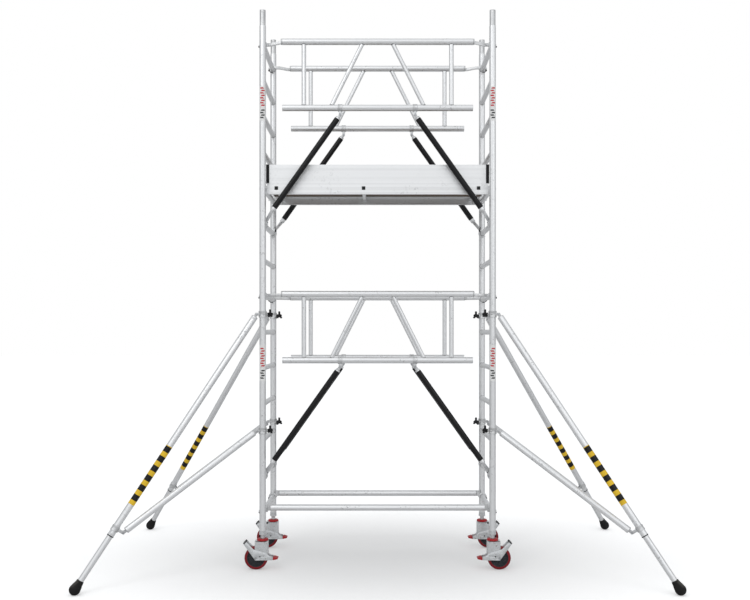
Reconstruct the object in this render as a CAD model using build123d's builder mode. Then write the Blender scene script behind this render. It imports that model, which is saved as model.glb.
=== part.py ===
from build123d import *
import os
from math import acos, atan2, cos, hypot, radians, sin, sqrt

os.makedirs("parts", exist_ok=True)

# Mobile tower scaffold, in millimetres. X runs along the platform, Y across it, Z up.
# The origin is on the floor, in the middle between the four posts.

# ---- clearances
weld_gap = 0.1  # between a coped tube and the tube that it is welded to
fit_gap = 0.05  # radial play of pins, bushes and shafts
side_gap = 0.5  # beside a tongue, a wheel leg or a pedal plate
seat_gap = 0.3  # under a part that rests on another body

# ---- tower frame
post_x = 893.0
post_y = 350.0
post_r = 25.4
post_wall = 2.0
frame_height = 1960.0
rung_count = 7
rung_pitch = 280.0
first_rung = 140.0  # from the lower end of a frame to its first rung
rung_r = 20.0
rung_wall = 1.8
spigot_length = 120.0
spigot_wall = 2.4
top_spigot_r = 22.8
spigot_hole_r = 6.0
spigot_hole_drop = 15.0
spring_pin_r = 4.0
spring_pin_rise = 70.0
spring_pin_stand = 3.0

# ---- rails
rail_r = 24.5
rail_wall = 1.6
rail_end_gap = 153.0  # from the end of a rail to the axis of the post
guard_height = 514.0
rail_rise = 16.0  # top rail axis over the rung that carries it
upright_x = 573.0
upright_r = 17.5
strut_top_x = 110.0
strut_bottom_x = 367.0
strut_r = 16.0
base_rail_end_gap = 58.0
base_rail_rise = 30.0
base_claw_gap = 4.6  # between a base claw and the post beside it

# ---- claws that hook over a rung
claw_y = 300.0
claw_r = 35.0
claw_width = 20.0
claw_lip = 4.0
hook_bar = 11.0
hook_bar_height = 25.0
hook_plug = 40.0
hook_straight = 22.0
catch_r = 8.0
catch_bar = 6.0
catch_thick = 5.0
catch_side = 31.0
catch_drop = 11.0

# ---- collar brackets, forks and tongues
collar_wall = 5.0
pin_r = 5.0
pin_head = 4.0
pin_head_r = 8.0
ear_r = 11.0
ear_thick = 4.0
tongue_thick = 12.0
tongue_length = 30.0
plug_length = 30.0

# ---- diagonal braces
brace_x = 291.0
brace_drop = 53.0
brace_collar = 35.0
brace_tube_r = 19.0
brace_wall = 2.0
brace_tube_end = 905.0
brace_bend_end = 995.0
sleeve_start = 39.0
sleeve_end = 885.0
sleeve_r = 22.0

# ---- platform
deck_rise = 39.0  # deck top over the rung that carries the platform
deck_thick = 12.0
beam_y = 300.0
beam_end_gap = 25.0  # from the end of a side beam to the axis of the post
beam_height = 84.0
beam_wall = 3.0
beam_lip = 30.0
ledge_width = 40.0
beam_stub = 6.0  # beam edge above the deck
cross_size = 27.0
cross_wall = 2.0
cross_left_gap = 100.0  # from the axis of the left posts to the first cross member
cross_middle = -110.0
cross_right_gap = 103.0
cross_drop = 31.0  # cross member axis below the deck's top
plug_flange = 2.5
plug_depth = 15.0
platform_claw_width = 12.0
platform_claw_reach = 84.0
door_hinge_y = 269.0
door_edge = 276.0
door_end_gap = 3.0
hinge_r = 5.0
hinge_pin_r = 2.5
hinge_leaf = 2.0
hinge_half = 30.0
hinge_from_end = 140.0
toe_height = 146.0
toe_thick = 20.0
toe_groove = 1.5
toe_groove_width = 5.0
toe_groove_inset = 35.0
clip_length = 25.0
clip_rise = 2.0

# ---- legs and casters
wheel_r = 90.0
wheel_width = 46.0
tyre_thick = 20.0
tyre_fillet = 8.0
core_rim = 8.0
hub_width = 50.0
hub_r = 20.0
axle_r = 8.0
caster_trail = 50.0
fork_clearance = 44.0  # fork top over the wheel
fork_plate = 8.0
fork_leg = 5.0
fork_inboard = 43.0
fork_outboard = 58.0
fork_cheek = 74.0  # height of the fork's straight outboard edge
king_r = 10.0
king_head_r = 16.0
spindle_r = 17.0
cap_thick = 16.0
bare_screw = 28.0  # screw that shows between the swivel cap and the leg nut
spindle_length = 320.0
cap_r = 44.0
cap_fillet = 5.0
nut_lip = 2.6  # leg nut beyond the post
nut_height = 32.0
nut_chamfer = 2.0
pedal_pivot_x = 18.0
pedal_pivot_z = 103.5
pedal_thick = 3.0
pedal_axle_gap = 4.0
stud_r = 5.0
stud_head = 2.0

# ---- stabilisers
stabiliser_angle = 29.0
coupler_reach = 50.0
upper_coupler_z = 1980.0
lower_coupler_z = 1075.0
coupler_height = 50.0
coupler_wall = 6.0
foot_reach = 1403.0
foot_r = 40.0
foot_centre_z = 38.0
foot_neck_r = 25.5
foot_neck = 70.0
leg_tube_r = 24.5
leg_tube_wall = 1.8
leg_tube_end = 1938.0
inner_tube_r = 21.5
inner_tube_wall = 2.0
inner_tube_start = 1500.0
bush_length = 38.0
bush_flange = 6.0
prop_r = 24.0
prop_wall = 1.5
prop_drop = 67.0
prop_collar = 40.0
prop_joint = 1880.0  # where the prop's collar sits, along the main tube
knob_start = 40.0
knob_end = 84.0
knob_stud_end = 72.0
knob_hub_r = 13.0
knob_wing_reach = 38.0
knob_wing_width = 12.0
knob_wing_thick = 16.0

# ---- values worked out from those above
rail_half = post_x - rail_end_gap
base_rail_half = post_x - base_rail_end_gap
base_rail_y = post_y - post_r - base_claw_gap - claw_width / 2
beam_half = post_x - beam_end_gap
toe_half = beam_half - toe_thick
cross_left = cross_left_gap - post_x
cross_right = post_x - cross_right_gap
core_r = wheel_r - tyre_thick
nut_r = post_r + nut_lip
fork_top = 2 * wheel_r + fork_clearance
spindle_bottom = fork_top + cap_thick
frame_bottom = spindle_bottom + bare_screw + nut_height
joint_z = frame_bottom + frame_height
frame_top = joint_z + frame_height
post_bore = post_r - post_wall
seat_r = rung_r + seat_gap
rail_bore = rail_r - rail_wall
lower_rungs = [frame_bottom + first_rung + i * rung_pitch for i in range(rung_count)]
upper_rungs = [z + frame_height for z in lower_rungs]
deck_top = upper_rungs[2] + deck_rise
deck_bottom = deck_top - deck_thick
beam_top = deck_top + beam_stub
beam_bottom = beam_top - beam_height
corners = {
    "front_left": (-1, -1),
    "front_right": (1, -1),
    "back_left": (-1, 1),
    "back_right": (1, 1),
}


# ---- helpers
def to_corner(solid, side_x, side_y):
    """Mirror a piece made for the +X +Y corner to the corner with these signs."""
    if side_x < 0:
        solid = solid.mirror(Plane.YZ)
    if side_y < 0:
        solid = solid.mirror(Plane.XZ)
    return solid


def write_node(name, solids):
    """Export one node; each of its pieces stays a separate solid."""
    node = Compound(label=name, children=[solid.moved(Location()) for solid in solids])
    export_step(node, f"parts/{name}.step")


def tube(plane, length, outer, bore):
    """Round tube from a plane's origin along its normal."""
    with BuildPart() as made:
        with BuildSketch(plane):
            Circle(outer)
            if bore:
                Circle(bore, mode=Mode.SUBTRACT)
        extrude(amount=length)
    return made.part


def draw_claw():
    """Half ring round a rung at the sketch's current location; it opens towards its +X."""
    Circle(claw_r)
    with Locations((claw_lip / 2, 0)):
        Rectangle(claw_lip, 2 * claw_r)
    with Locations((claw_lip + claw_r / 2, 0)):
        Rectangle(claw_r, 2 * claw_r, mode=Mode.SUBTRACT)
    Circle(seat_r, mode=Mode.SUBTRACT)
    with Locations((claw_lip / 2, 0)):
        Rectangle(claw_lip, 2 * seat_r, mode=Mode.SUBTRACT)


def catch(plane, points):
    """Black catch on the face of a claw: a disc and a finger along the given points."""
    with BuildPart() as made:
        with BuildSketch(plane):
            with Locations(points[0]):
                Circle(catch_r)
            with BuildLine():
                Polyline(*points)
            trace(line_width=catch_bar)
        extrude(amount=catch_thick)
    return made.part


def collar(plane, tube_r, wall, length, drop, play):
    """Collar on a tube (plane X) with two ears for a pin (plane Z) below it (plane -Y)."""
    ear_in = tongue_thick / 2 + side_gap
    ear_out = ear_in + ear_thick
    ear_top = sqrt((tube_r + wall) ** 2 - ear_out**2) - 1
    ring = Plane(plane.origin - plane.x_dir * (length / 2), x_dir=plane.y_dir, z_dir=plane.x_dir)
    with BuildPart() as made:
        with BuildSketch(ring):
            Circle(tube_r + wall)
            Circle(tube_r + play, mode=Mode.SUBTRACT)
        extrude(amount=length)
        for start in (ear_in, -ear_out):
            with BuildSketch(plane.offset(start)):
                with Locations((0, -(ear_top + drop) / 2)):
                    Rectangle(2 * ear_r, drop - ear_top)
                with Locations((0, -drop)):
                    Circle(ear_r)
                    Circle(pin_r + fit_gap, mode=Mode.SUBTRACT)
            extrude(amount=ear_thick)
    return made.part


def collar_pin(plane, drop):
    """Headed pin through the ears of a collar bracket."""
    shank = tongue_thick / 2 + side_gap + ear_thick
    with BuildPart() as made:
        with BuildSketch(plane.offset(-shank)):
            with Locations((0, -drop)):
                Circle(pin_r)
        extrude(amount=2 * shank)
        for start in (shank, -shank - pin_head):
            with BuildSketch(plane.offset(start)):
                with Locations((0, -drop)):
                    Circle(pin_head_r)
            extrude(amount=pin_head)
    return made.part


def tongue(plane, plug_r, cap_outer):
    """Tongue on a pin at the plane's origin (axis Z), with a plug into a tube along X."""
    end = Plane(
        plane.origin + plane.x_dir * (tongue_length - pin_head), x_dir=plane.z_dir, z_dir=plane.x_dir
    )
    with BuildPart() as made:
        with BuildSketch(plane.offset(-tongue_thick / 2)):
            Circle(ear_r)
            with Locations((tongue_length / 2, 0)):
                Rectangle(tongue_length, 2 * ear_r)
            Circle(pin_r + fit_gap, mode=Mode.SUBTRACT)
        extrude(amount=tongue_thick)
        with BuildSketch(end):
            Circle(cap_outer)
        extrude(amount=pin_head)
        with BuildSketch(end.offset(pin_head)):
            Circle(plug_r)
        extrude(amount=plug_length)
    return made.part


# ---- ladder frames
def post(base_z, side_y):
    """One post of a frame, with the spring pin's hole near the foot of an upper frame."""
    with BuildPart() as made:
        with BuildSketch(Plane((post_x, side_y * post_y, base_z))):
            Circle(post_r)
            Circle(post_bore, mode=Mode.SUBTRACT)
        extrude(amount=frame_height)
        if base_z == joint_z:
            pin_z = base_z + spring_pin_rise
            with BuildSketch(Plane((post_x, side_y * post_y, pin_z), z_dir=(0, side_y, 0))):
                Circle(spring_pin_r + fit_gap)
            extrude(amount=post_r + 1, mode=Mode.SUBTRACT)
    return made.part


def rung(z):
    """Round rung between the two posts of a frame, coped to both."""
    with BuildPart() as made:
        with BuildSketch(Plane((post_x, -post_y, z), z_dir=(0, 1, 0))):
            Circle(rung_r)
            Circle(rung_r - rung_wall, mode=Mode.SUBTRACT)
        extrude(amount=2 * post_y)
        with BuildSketch(Plane.XY.offset(z - 2 * rung_r)):
            with Locations((post_x, -post_y), (post_x, post_y)):
                Circle(post_r + weld_gap)
        extrude(amount=4 * rung_r, mode=Mode.SUBTRACT)
    return made.part


for level, base_z, rungs in (("lower", frame_bottom, lower_rungs), ("upper", joint_z, upper_rungs)):
    frame_solids = [post(base_z, 1), post(base_z, -1)] + [rung(z) for z in rungs]
    for side, side_x in (("right", 1), ("left", -1)):
        write_node(f"{level}_{side}_frame", [to_corner(solid, side_x, 1) for solid in frame_solids])


# ---- spigots
def joint_spigot():
    """Tube inside the posts where an upper frame stands on a lower frame."""
    start = Plane((post_x, post_y, joint_z - spigot_length))
    seated_r = post_bore - fit_gap
    return tube(start, 2 * spigot_length, seated_r, seated_r - spigot_wall)


def spring_pin():
    """Button of the spring clip that locks two frames together."""
    seat = post_bore - fit_gap
    plane = Plane((post_x, post_y + seat, joint_z + spring_pin_rise), z_dir=(0, 1, 0))
    return tube(plane, post_r - seat + spring_pin_stand, spring_pin_r, 0)


def top_spigot():
    """Open end of an upper post, ready for another frame."""
    seated_r = post_bore - fit_gap
    with BuildPart() as made:
        with BuildSketch(Plane((post_x, post_y, frame_top - spigot_length))):
            Circle(seated_r)
        extrude(amount=spigot_length)
        with BuildSketch(Plane((post_x, post_y, frame_top))):
            Circle(top_spigot_r)
        extrude(amount=spigot_length)
        with BuildSketch(Plane((post_x, post_y, frame_top - spigot_length))):
            Circle(top_spigot_r - spigot_wall)
        extrude(amount=2 * spigot_length, mode=Mode.SUBTRACT)
        with BuildSketch(
            Plane((post_x, post_y - post_r, frame_top + spigot_length - spigot_hole_drop), z_dir=(0, 1, 0))
        ):
            Circle(spigot_hole_r)
        extrude(amount=2 * post_r, mode=Mode.SUBTRACT)
    return made.part


spigot_solids = [joint_spigot(), spring_pin(), top_spigot()]
write_node(
    "frame_spigots",
    [to_corner(solid, *signs) for signs in corners.values() for solid in spigot_solids],
)


# ---- guardrails
def coped(start, end, outer, wall, rails):
    """Tube in the guardrail's plane between two points, coped to horizontal rails."""
    axis = Vector(*end) - Vector(*start)
    with BuildPart() as made:
        with BuildSketch(Plane(start, z_dir=axis)):
            Circle(outer)
            Circle(outer - wall, mode=Mode.SUBTRACT)
        extrude(amount=axis.length)
        with BuildSketch(Plane.YZ.offset(-rail_half)):
            with Locations(*[(post_y, z) for z in rails]):
                Circle(rail_r + weld_gap)
        extrude(amount=2 * rail_half, mode=Mode.SUBTRACT)
    return made.part


def rail_hook(rail_z, rung_z):
    """Cast hook in the end of a top rail: plug, collar, bent bar and claw."""
    bar_z = (rail_z + rung_z - hook_bar_height) / 2
    with BuildPart() as made:
        with BuildSketch(Plane.YZ.offset(rail_half - hook_plug)):
            with Locations((post_y, rail_z)):
                Circle(rail_bore - fit_gap)
        extrude(amount=hook_plug)
        with BuildSketch(Plane.YZ.offset(rail_half)):
            with Locations((post_y, rail_z)):
                Circle(rail_r - 1)
        extrude(amount=hook_bar)
        with BuildSketch(Plane.XY.offset(bar_z)):
            with BuildLine():
                Polyline(
                    (rail_half, post_y),
                    (rail_half + hook_straight, post_y),
                    (post_x - claw_r - hook_straight, claw_y),
                    (post_x - seat_r - hook_bar / 2, claw_y),
                )
            trace(line_width=hook_bar)
        extrude(amount=hook_bar_height)
        with BuildSketch(Plane.XZ.offset(-claw_y - claw_width / 2)):
            with Locations(Location((post_x, rung_z, 0), (0, 0, -90))):
                draw_claw()
        extrude(amount=claw_width)
    return made.part


def closed_catch(face_y, rung_z):
    """Catch that closes the mouth of a claw that hangs on a rung."""
    plane = Plane((post_x, face_y, rung_z), x_dir=(0, 0, -1), z_dir=(0, 1, 0))
    under = rung_r + catch_bar
    return catch(plane, [(catch_drop, -catch_side), (under, -rung_r), (under, 0)])


for level, rung_z in (("lower", lower_rungs[-1]), ("upper", upper_rungs[-1])):
    rail_z = rung_z + rail_rise
    knee_z = rail_z - guard_height
    rails = (rail_z, knee_z)
    bracket = Plane((brace_x, post_y, knee_z), x_dir=(1, 0, 0), z_dir=(0, -1, 0))
    rail_planes = [Plane((-rail_half, post_y, z), z_dir=(1, 0, 0)) for z in rails]
    rail_solids = [tube(plane, 2 * rail_half, rail_r, rail_bore) for plane in rail_planes]
    half_solids = [
        coped((upright_x, post_y, knee_z), (upright_x, post_y, rail_z), upright_r, rail_wall, rails),
        coped((strut_bottom_x, post_y, knee_z), (strut_top_x, post_y, rail_z), strut_r, rail_wall, rails),
        rail_hook(rail_z, rung_z),
        closed_catch(claw_y + claw_width / 2, rung_z),
        collar(bracket, rail_r, collar_wall, brace_collar, brace_drop, fit_gap),
        collar_pin(bracket, brace_drop),
    ]
    rail_solids += [to_corner(solid, side_x, 1) for side_x in (1, -1) for solid in half_solids]
    for side, side_y in (("back", 1), ("front", -1)):
        write_node(f"{side}_{level}_guardrail", [to_corner(solid, 1, side_y) for solid in rail_solids])


# ---- base braces
def base_hook():
    """Claw in the end of a base brace, over the lowest rung."""
    rung_z = lower_rungs[0]
    rail_z = rung_z + base_rail_rise
    with BuildPart() as made:
        with BuildSketch(Plane.YZ.offset(base_rail_half - hook_plug)):
            with Locations((base_rail_y, rail_z)):
                Circle(rail_bore - fit_gap)
        extrude(amount=hook_plug)
        with BuildSketch(Plane.XZ.offset(-base_rail_y - claw_width / 2)):
            with Locations(((base_rail_half + post_x) / 2, rail_z)):
                Rectangle(post_x - base_rail_half, 2 * rail_bore)
            with Locations((post_x, rung_z)):
                Circle(seat_r, mode=Mode.SUBTRACT)
            with Locations(Location((post_x, rung_z, 0), (0, 0, -90))):
                draw_claw()
        extrude(amount=claw_width)
    return made.part


base_rail_z = lower_rungs[0] + base_rail_rise
base_solids = [base_hook(), closed_catch(base_rail_y - claw_width / 2 - catch_thick, lower_rungs[0])]
base_start = Plane((-base_rail_half, base_rail_y, base_rail_z), z_dir=(1, 0, 0))
base_tube = tube(base_start, 2 * base_rail_half, rail_r, rail_bore)
write_node(
    "base_braces",
    [to_corner(base_tube, 1, side_y) for side_y in (1, -1)]
    + [to_corner(solid, *signs) for signs in corners.values() for solid in base_solids],
)


# ---- platform
cross_z = deck_top - cross_drop
cross_xs = (cross_left, cross_middle, cross_right)
door_left = cross_left + door_end_gap
door_right = cross_middle - door_end_gap
hinge_z = deck_top + hinge_leaf + seat_gap + hinge_r - 0.5
hinge_xs = (door_left + hinge_from_end, door_right - hinge_from_end)


def platform_beam():
    """Side beam: web outside, lip at the bottom, ledge under the deck."""
    with BuildPart() as made:
        with BuildSketch(Plane.YZ.offset(-beam_half)):
            with Locations((beam_y, beam_bottom)):
                Rectangle(beam_wall, beam_height, align=(Align.MAX, Align.MIN))
                Rectangle(beam_lip, beam_wall, align=(Align.MAX, Align.MIN))
            with Locations((beam_y, deck_bottom)):
                Rectangle(ledge_width, beam_wall, align=(Align.MAX, Align.MAX))
        extrude(amount=2 * beam_half)
        with BuildSketch(Plane.XZ.offset(-beam_y - 1)):
            with Locations(*[(x, cross_z) for x in cross_xs]):
                Rectangle(cross_size + 2 * weld_gap, cross_size + 2 * weld_gap)
        extrude(amount=beam_wall + 2, mode=Mode.SUBTRACT)
    return made.part


def cross_member(x):
    """Square tube through the webs of both beams."""
    bore = cross_size - 2 * cross_wall
    with BuildPart() as made:
        with BuildSketch(Plane((x, -beam_y, cross_z), x_dir=(1, 0, 0), z_dir=(0, 1, 0))):
            Rectangle(cross_size, cross_size)
            Rectangle(bore, bore, mode=Mode.SUBTRACT)
        extrude(amount=2 * beam_y)
    return made.part


def platform_claw():
    """Flat claw inside the end of a side beam, over the rung."""
    rung_z = upper_rungs[2]
    inside = beam_y - beam_wall - weld_gap
    low = beam_bottom + beam_wall + weld_gap
    high = deck_bottom - beam_wall - weld_gap
    with BuildPart() as made:
        with BuildSketch(Plane.XZ.offset(-inside)):
            with Locations((post_x - platform_claw_reach, low)):
                Rectangle(platform_claw_reach, high - low, align=(Align.MIN, Align.MIN))
            with Locations(Location((post_x, rung_z, 0), (0, 0, -90))):
                Circle(seat_r, mode=Mode.SUBTRACT)
                Rectangle(2 * claw_r, 2 * seat_r, align=(Align.MIN, Align.CENTER), mode=Mode.SUBTRACT)
                draw_claw()
        extrude(amount=platform_claw_width)
    return made.part


def hinge_knuckle(x, start, length):
    """Part of a hinge barrel, with the bore for its pin."""
    return tube(
        Plane((x + start, door_hinge_y, hinge_z), z_dir=(1, 0, 0)), length, hinge_r, hinge_pin_r + fit_gap
    )


def fixed_leaf(x):
    """Hinge leaf on the deck strip: a plate with the barrel's two outer knuckles."""
    third = 2 * hinge_half / 3
    width = beam_y - toe_thick - 1 - door_hinge_y
    with BuildPart() as made:
        with BuildSketch(Plane.XY.offset(deck_top)):
            with Locations((x, door_hinge_y)):
                Rectangle(2 * hinge_half, width, align=(Align.CENTER, Align.MIN))
        extrude(amount=hinge_leaf)
        for start in (-hinge_half, hinge_half - third):
            with BuildSketch(Plane.YZ.offset(x + start)):
                with Locations((door_hinge_y, hinge_z)):
                    Circle(hinge_r)
                with Locations((door_hinge_y, deck_top)):
                    Rectangle(hinge_r, hinge_z - deck_top, align=(Align.MIN, Align.MIN))
            extrude(amount=third)
        with BuildSketch(Plane.YZ.offset(x - hinge_half)):
            with Locations((door_hinge_y, hinge_z)):
                Circle(hinge_pin_r + fit_gap)
        extrude(amount=2 * hinge_half, mode=Mode.SUBTRACT)
        with BuildSketch(Plane.XY.offset(deck_top - 1)):
            with Locations((x, door_hinge_y)):
                Rectangle(third, 4 * hinge_r)
        extrude(amount=4 * hinge_r, mode=Mode.SUBTRACT)
    return made.part


def door_leaf(x):
    """Hinge leaf on the trapdoor, with the barrel's middle knuckle."""
    third = 2 * hinge_half / 3 - 2 * side_gap
    with BuildPart() as made:
        with BuildSketch(Plane.YZ.offset(x - third / 2)):
            with Locations((door_hinge_y, hinge_z)):
                Circle(hinge_r)
            with Locations((door_hinge_y, deck_top + seat_gap)):
                Rectangle(5 * hinge_r, hinge_leaf, align=(Align.MAX, Align.MIN))
                Rectangle(hinge_r, hinge_z - deck_top - seat_gap, align=(Align.MAX, Align.MIN))
            with Locations((door_hinge_y, hinge_z)):
                Circle(hinge_pin_r + fit_gap, mode=Mode.SUBTRACT)
        extrude(amount=third)
    return made.part


beam_solid = platform_beam()
claw_solid = platform_claw()
hinge_pins = [
    tube(Plane((x - hinge_half, door_hinge_y, hinge_z), z_dir=(1, 0, 0)), 2 * hinge_half, hinge_pin_r, 0)
    for x in hinge_xs
]
write_node(
    "platform_frame",
    [to_corner(beam_solid, 1, side_y) for side_y in (1, -1)]
    + [cross_member(x) for x in cross_xs]
    + [to_corner(claw_solid, *signs) for signs in corners.values()]
    + [fixed_leaf(x) for x in hinge_xs]
    + hinge_pins,
)


def deck_sheet(left, right, front, back, bottom=deck_bottom):
    """Flat piece of decking."""
    with BuildPart() as made:
        with BuildSketch(Plane.XY.offset(bottom)):
            with Locations((left, front)):
                Rectangle(right - left, back - front, align=(Align.MIN, Align.MIN))
        extrude(amount=deck_thick)
    return made.part


deck_edge = beam_y - beam_wall - side_gap
strip_back = door_hinge_y - door_end_gap
write_node(
    "deck_panels",
    [
        deck_sheet(cross_middle, beam_half, -deck_edge, deck_edge),
        deck_sheet(-beam_half, cross_left, -deck_edge, deck_edge),
        deck_sheet(cross_left + weld_gap, cross_middle - weld_gap, strip_back, deck_edge),
        deck_sheet(cross_left + weld_gap, cross_middle - weld_gap, -deck_edge, -door_edge - door_end_gap),
    ],
)
trapdoor_sheet = deck_sheet(
    door_left, door_right, -door_edge, strip_back - door_end_gap, deck_bottom + seat_gap
)
write_node("trapdoor", [trapdoor_sheet] + [door_leaf(x) for x in hinge_xs])


def toe_board_section():
    """Closed board section with two shallow grooves in its outer face."""
    Rectangle(toe_thick, toe_height, align=(Align.MAX, Align.MIN))
    with Locations((0, toe_groove_inset), (0, toe_height - toe_groove_inset)):
        Rectangle(toe_groove, toe_groove_width, align=(Align.MAX, Align.CENTER), mode=Mode.SUBTRACT)


with BuildPart() as side_toe_board:
    with BuildSketch(Plane.YZ.offset(-toe_half)):
        with Locations((beam_y, beam_top)):
            toe_board_section()
    extrude(amount=2 * toe_half)

toe_end_y = beam_y - toe_thick - weld_gap
toe_end_plane = Plane((toe_half + toe_thick, -toe_end_y, beam_top), x_dir=(1, 0, 0), z_dir=(0, -1, 0))
with BuildPart() as end_toe_board:
    with BuildSketch(toe_end_plane):
        toe_board_section()
    extrude(amount=-2 * toe_end_y)

write_node(
    "toe_boards",
    [to_corner(side_toe_board.part, 1, side_y) for side_y in (1, -1)]
    + [to_corner(end_toe_board.part, side_x, 1) for side_x in (1, -1)],
)

with BuildPart() as corner_clip:
    with BuildSketch(Plane.XY.offset(beam_top)):
        with Locations((toe_half, beam_y)):
            Rectangle(clip_length, toe_thick, align=(Align.MIN, Align.MAX))
    extrude(amount=toe_height + clip_rise)

with BuildPart() as cross_plug:
    with BuildSketch(Plane((0, beam_y, cross_z), x_dir=(1, 0, 0), z_dir=(0, 1, 0))):
        Rectangle(cross_size, cross_size)
    extrude(amount=plug_flange)
    with BuildSketch(Plane((0, beam_y - plug_depth, cross_z), x_dir=(1, 0, 0), z_dir=(0, 1, 0))):
        Rectangle(cross_size - 2 * cross_wall - 2 * fit_gap, cross_size - 2 * cross_wall - 2 * fit_gap)
    extrude(amount=plug_depth)

write_node(
    "platform_plugs",
    [to_corner(corner_clip.part, *signs) for signs in corners.values()]
    + [
        to_corner(cross_plug.part.moved(Location((x, 0, 0))), 1, side_y)
        for x in cross_xs
        for side_y in (1, -1)
    ],
)

# ---- legs and casters, made for the +X +Y corner
with BuildPart() as leg_nut:
    with BuildSketch(Plane((post_x, post_y, frame_bottom - nut_height))):
        Circle(nut_r)
        Circle(spindle_r + fit_gap, mode=Mode.SUBTRACT)
    extrude(amount=nut_height)
    chamfer(leg_nut.edges().filter_by(GeomType.CIRCLE).group_by(SortBy.RADIUS)[-1], nut_chamfer)
write_node("leg_nuts", [to_corner(leg_nut.part, *signs) for signs in corners.values()])

crown_bottom = fork_top - fork_plate
with BuildPart() as spindle:
    with BuildSketch(Plane((post_x, post_y, spindle_bottom))):
        Circle(spindle_r)
    extrude(amount=spindle_length)
    with BuildSketch(Plane((post_x, post_y, crown_bottom - fork_plate))):
        Circle(king_r)
    extrude(amount=spindle_bottom - crown_bottom + fork_plate)
    with BuildSketch(Plane((post_x, post_y, crown_bottom - seat_gap - fork_plate))):
        Circle(king_head_r)
    extrude(amount=fork_plate)

with BuildPart() as swivel_cap:
    with BuildSketch(Plane((post_x, post_y, fork_top + seat_gap))):
        Circle(cap_r)
        Circle(king_r + fit_gap, mode=Mode.SUBTRACT)
    extrude(amount=spindle_bottom - fork_top - seat_gap)
    cap_top_circles = swivel_cap.edges().filter_by(GeomType.CIRCLE).group_by(Axis.Z)[-1]
    fillet(cap_top_circles.sort_by(SortBy.RADIUS)[-1], cap_fillet)

axle_x = post_x + caster_trail
leg_in = hub_width / 2 + side_gap
leg_out = leg_in + fork_leg
fork_side_points = [
    (post_x - fork_inboard, fork_top),
    (post_x + fork_outboard, fork_top),
    (post_x + fork_outboard, fork_top - fork_cheek),
    (axle_x + 2 * axle_r + 2, wheel_r + axle_r),
    (axle_x + axle_r / 2, wheel_r - 2 * axle_r),
    (post_x - fork_inboard, wheel_r - 2 * axle_r),
]

with BuildPart() as fork:
    with BuildSketch(Plane.XY.offset(crown_bottom)):
        with Locations((post_x - fork_inboard, post_y)):
            Rectangle(fork_inboard + fork_outboard, 2 * leg_out, align=(Align.MIN, Align.CENTER))
        with Locations((post_x, post_y)):
            Circle(king_r + fit_gap, mode=Mode.SUBTRACT)
    extrude(amount=fork_plate)
    for leg_y in (post_y + leg_out, post_y - leg_in):
        with BuildSketch(Plane.XZ.offset(-leg_y)):
            Polygon(*fork_side_points, align=None)
            with Locations((axle_x, wheel_r)):
                Circle(axle_r + fit_gap, mode=Mode.SUBTRACT)
        extrude(amount=fork_leg)
    for stud_y in (post_y + leg_out + side_gap + pedal_thick + stud_head, post_y - leg_out + 1):
        with BuildSketch(Plane.XZ.offset(-stud_y)):
            with Locations((post_x + pedal_pivot_x, pedal_pivot_z)):
                Circle(stud_r)
        extrude(amount=side_gap + pedal_thick + stud_head + 1)

with BuildPart() as axle_bolt:
    with BuildSketch(Plane.XZ.offset(-post_y - leg_out)):
        with Locations((axle_x, wheel_r)):
            Circle(axle_r)
    extrude(amount=2 * leg_out)

with BuildPart() as wheel_core:
    with BuildSketch(Plane.XZ.offset(-post_y - hub_width / 2)):
        with Locations((axle_x, wheel_r)):
            Circle(hub_r)
    extrude(amount=hub_width)
    with BuildSketch(Plane.XZ.offset(-post_y - wheel_width / 2 + 2)):
        with Locations((axle_x, wheel_r)):
            Circle(core_r)
    extrude(amount=wheel_width - 4)
    for face_y in (post_y + wheel_width / 2, post_y - wheel_width / 4):
        with BuildSketch(Plane.XZ.offset(-face_y)):
            with Locations((axle_x, wheel_r)):
                Circle(core_r - core_rim)
                Circle(hub_r, mode=Mode.SUBTRACT)
        extrude(amount=wheel_width / 4, mode=Mode.SUBTRACT)
    with BuildSketch(Plane.XZ.offset(-post_y - hub_width / 2)):
        with Locations((axle_x, wheel_r)):
            Circle(axle_r + fit_gap)
    extrude(amount=hub_width, mode=Mode.SUBTRACT)

with BuildPart() as tyre:
    with BuildSketch(Plane.XZ.offset(-post_y - wheel_width / 2)):
        with Locations((axle_x, wheel_r)):
            Circle(wheel_r)
            Circle(core_r + weld_gap, mode=Mode.SUBTRACT)
    extrude(amount=wheel_width)
    fillet(tyre.edges().filter_by(GeomType.CIRCLE).group_by(SortBy.RADIUS)[-1], tyre_fillet)

pedal_in = leg_out + side_gap
pedal_out = pedal_in + pedal_thick
pedal_points = [
    (-82, 76),
    (54, 74),
    (149, 207),
    (130, 224),
    (67, 160),
    (40, 150),
    (-30, 130),
    (-60, 106),
    (-82, 104),
]
inner_tread = [(-82, 76), (-120, 84), (-119, 91), (-90, 100), (-82, 96)]
outer_tread = [(149, 207), (130, 224), (121, 215), (140, 198)]


def pedal_section(points):
    """Part of the pedal's outline, given from the post's axis and the floor."""
    Polygon(*[(post_x + x, z) for x, z in points], align=None)


with BuildPart() as pedal:
    for plate_y in (post_y + pedal_out, post_y - pedal_in):
        with BuildSketch(Plane.XZ.offset(-plate_y)):
            pedal_section(pedal_points)
            with Locations((post_x + pedal_pivot_x, pedal_pivot_z)):
                Circle(stud_r + fit_gap, mode=Mode.SUBTRACT)
            with Locations((axle_x, wheel_r)):
                Circle(axle_r + pedal_axle_gap, mode=Mode.SUBTRACT)
        extrude(amount=pedal_thick)
    for tread in (inner_tread, outer_tread):
        with BuildSketch(Plane.XZ.offset(-post_y - pedal_out)):
            pedal_section(tread)
        extrude(amount=2 * pedal_out)

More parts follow.
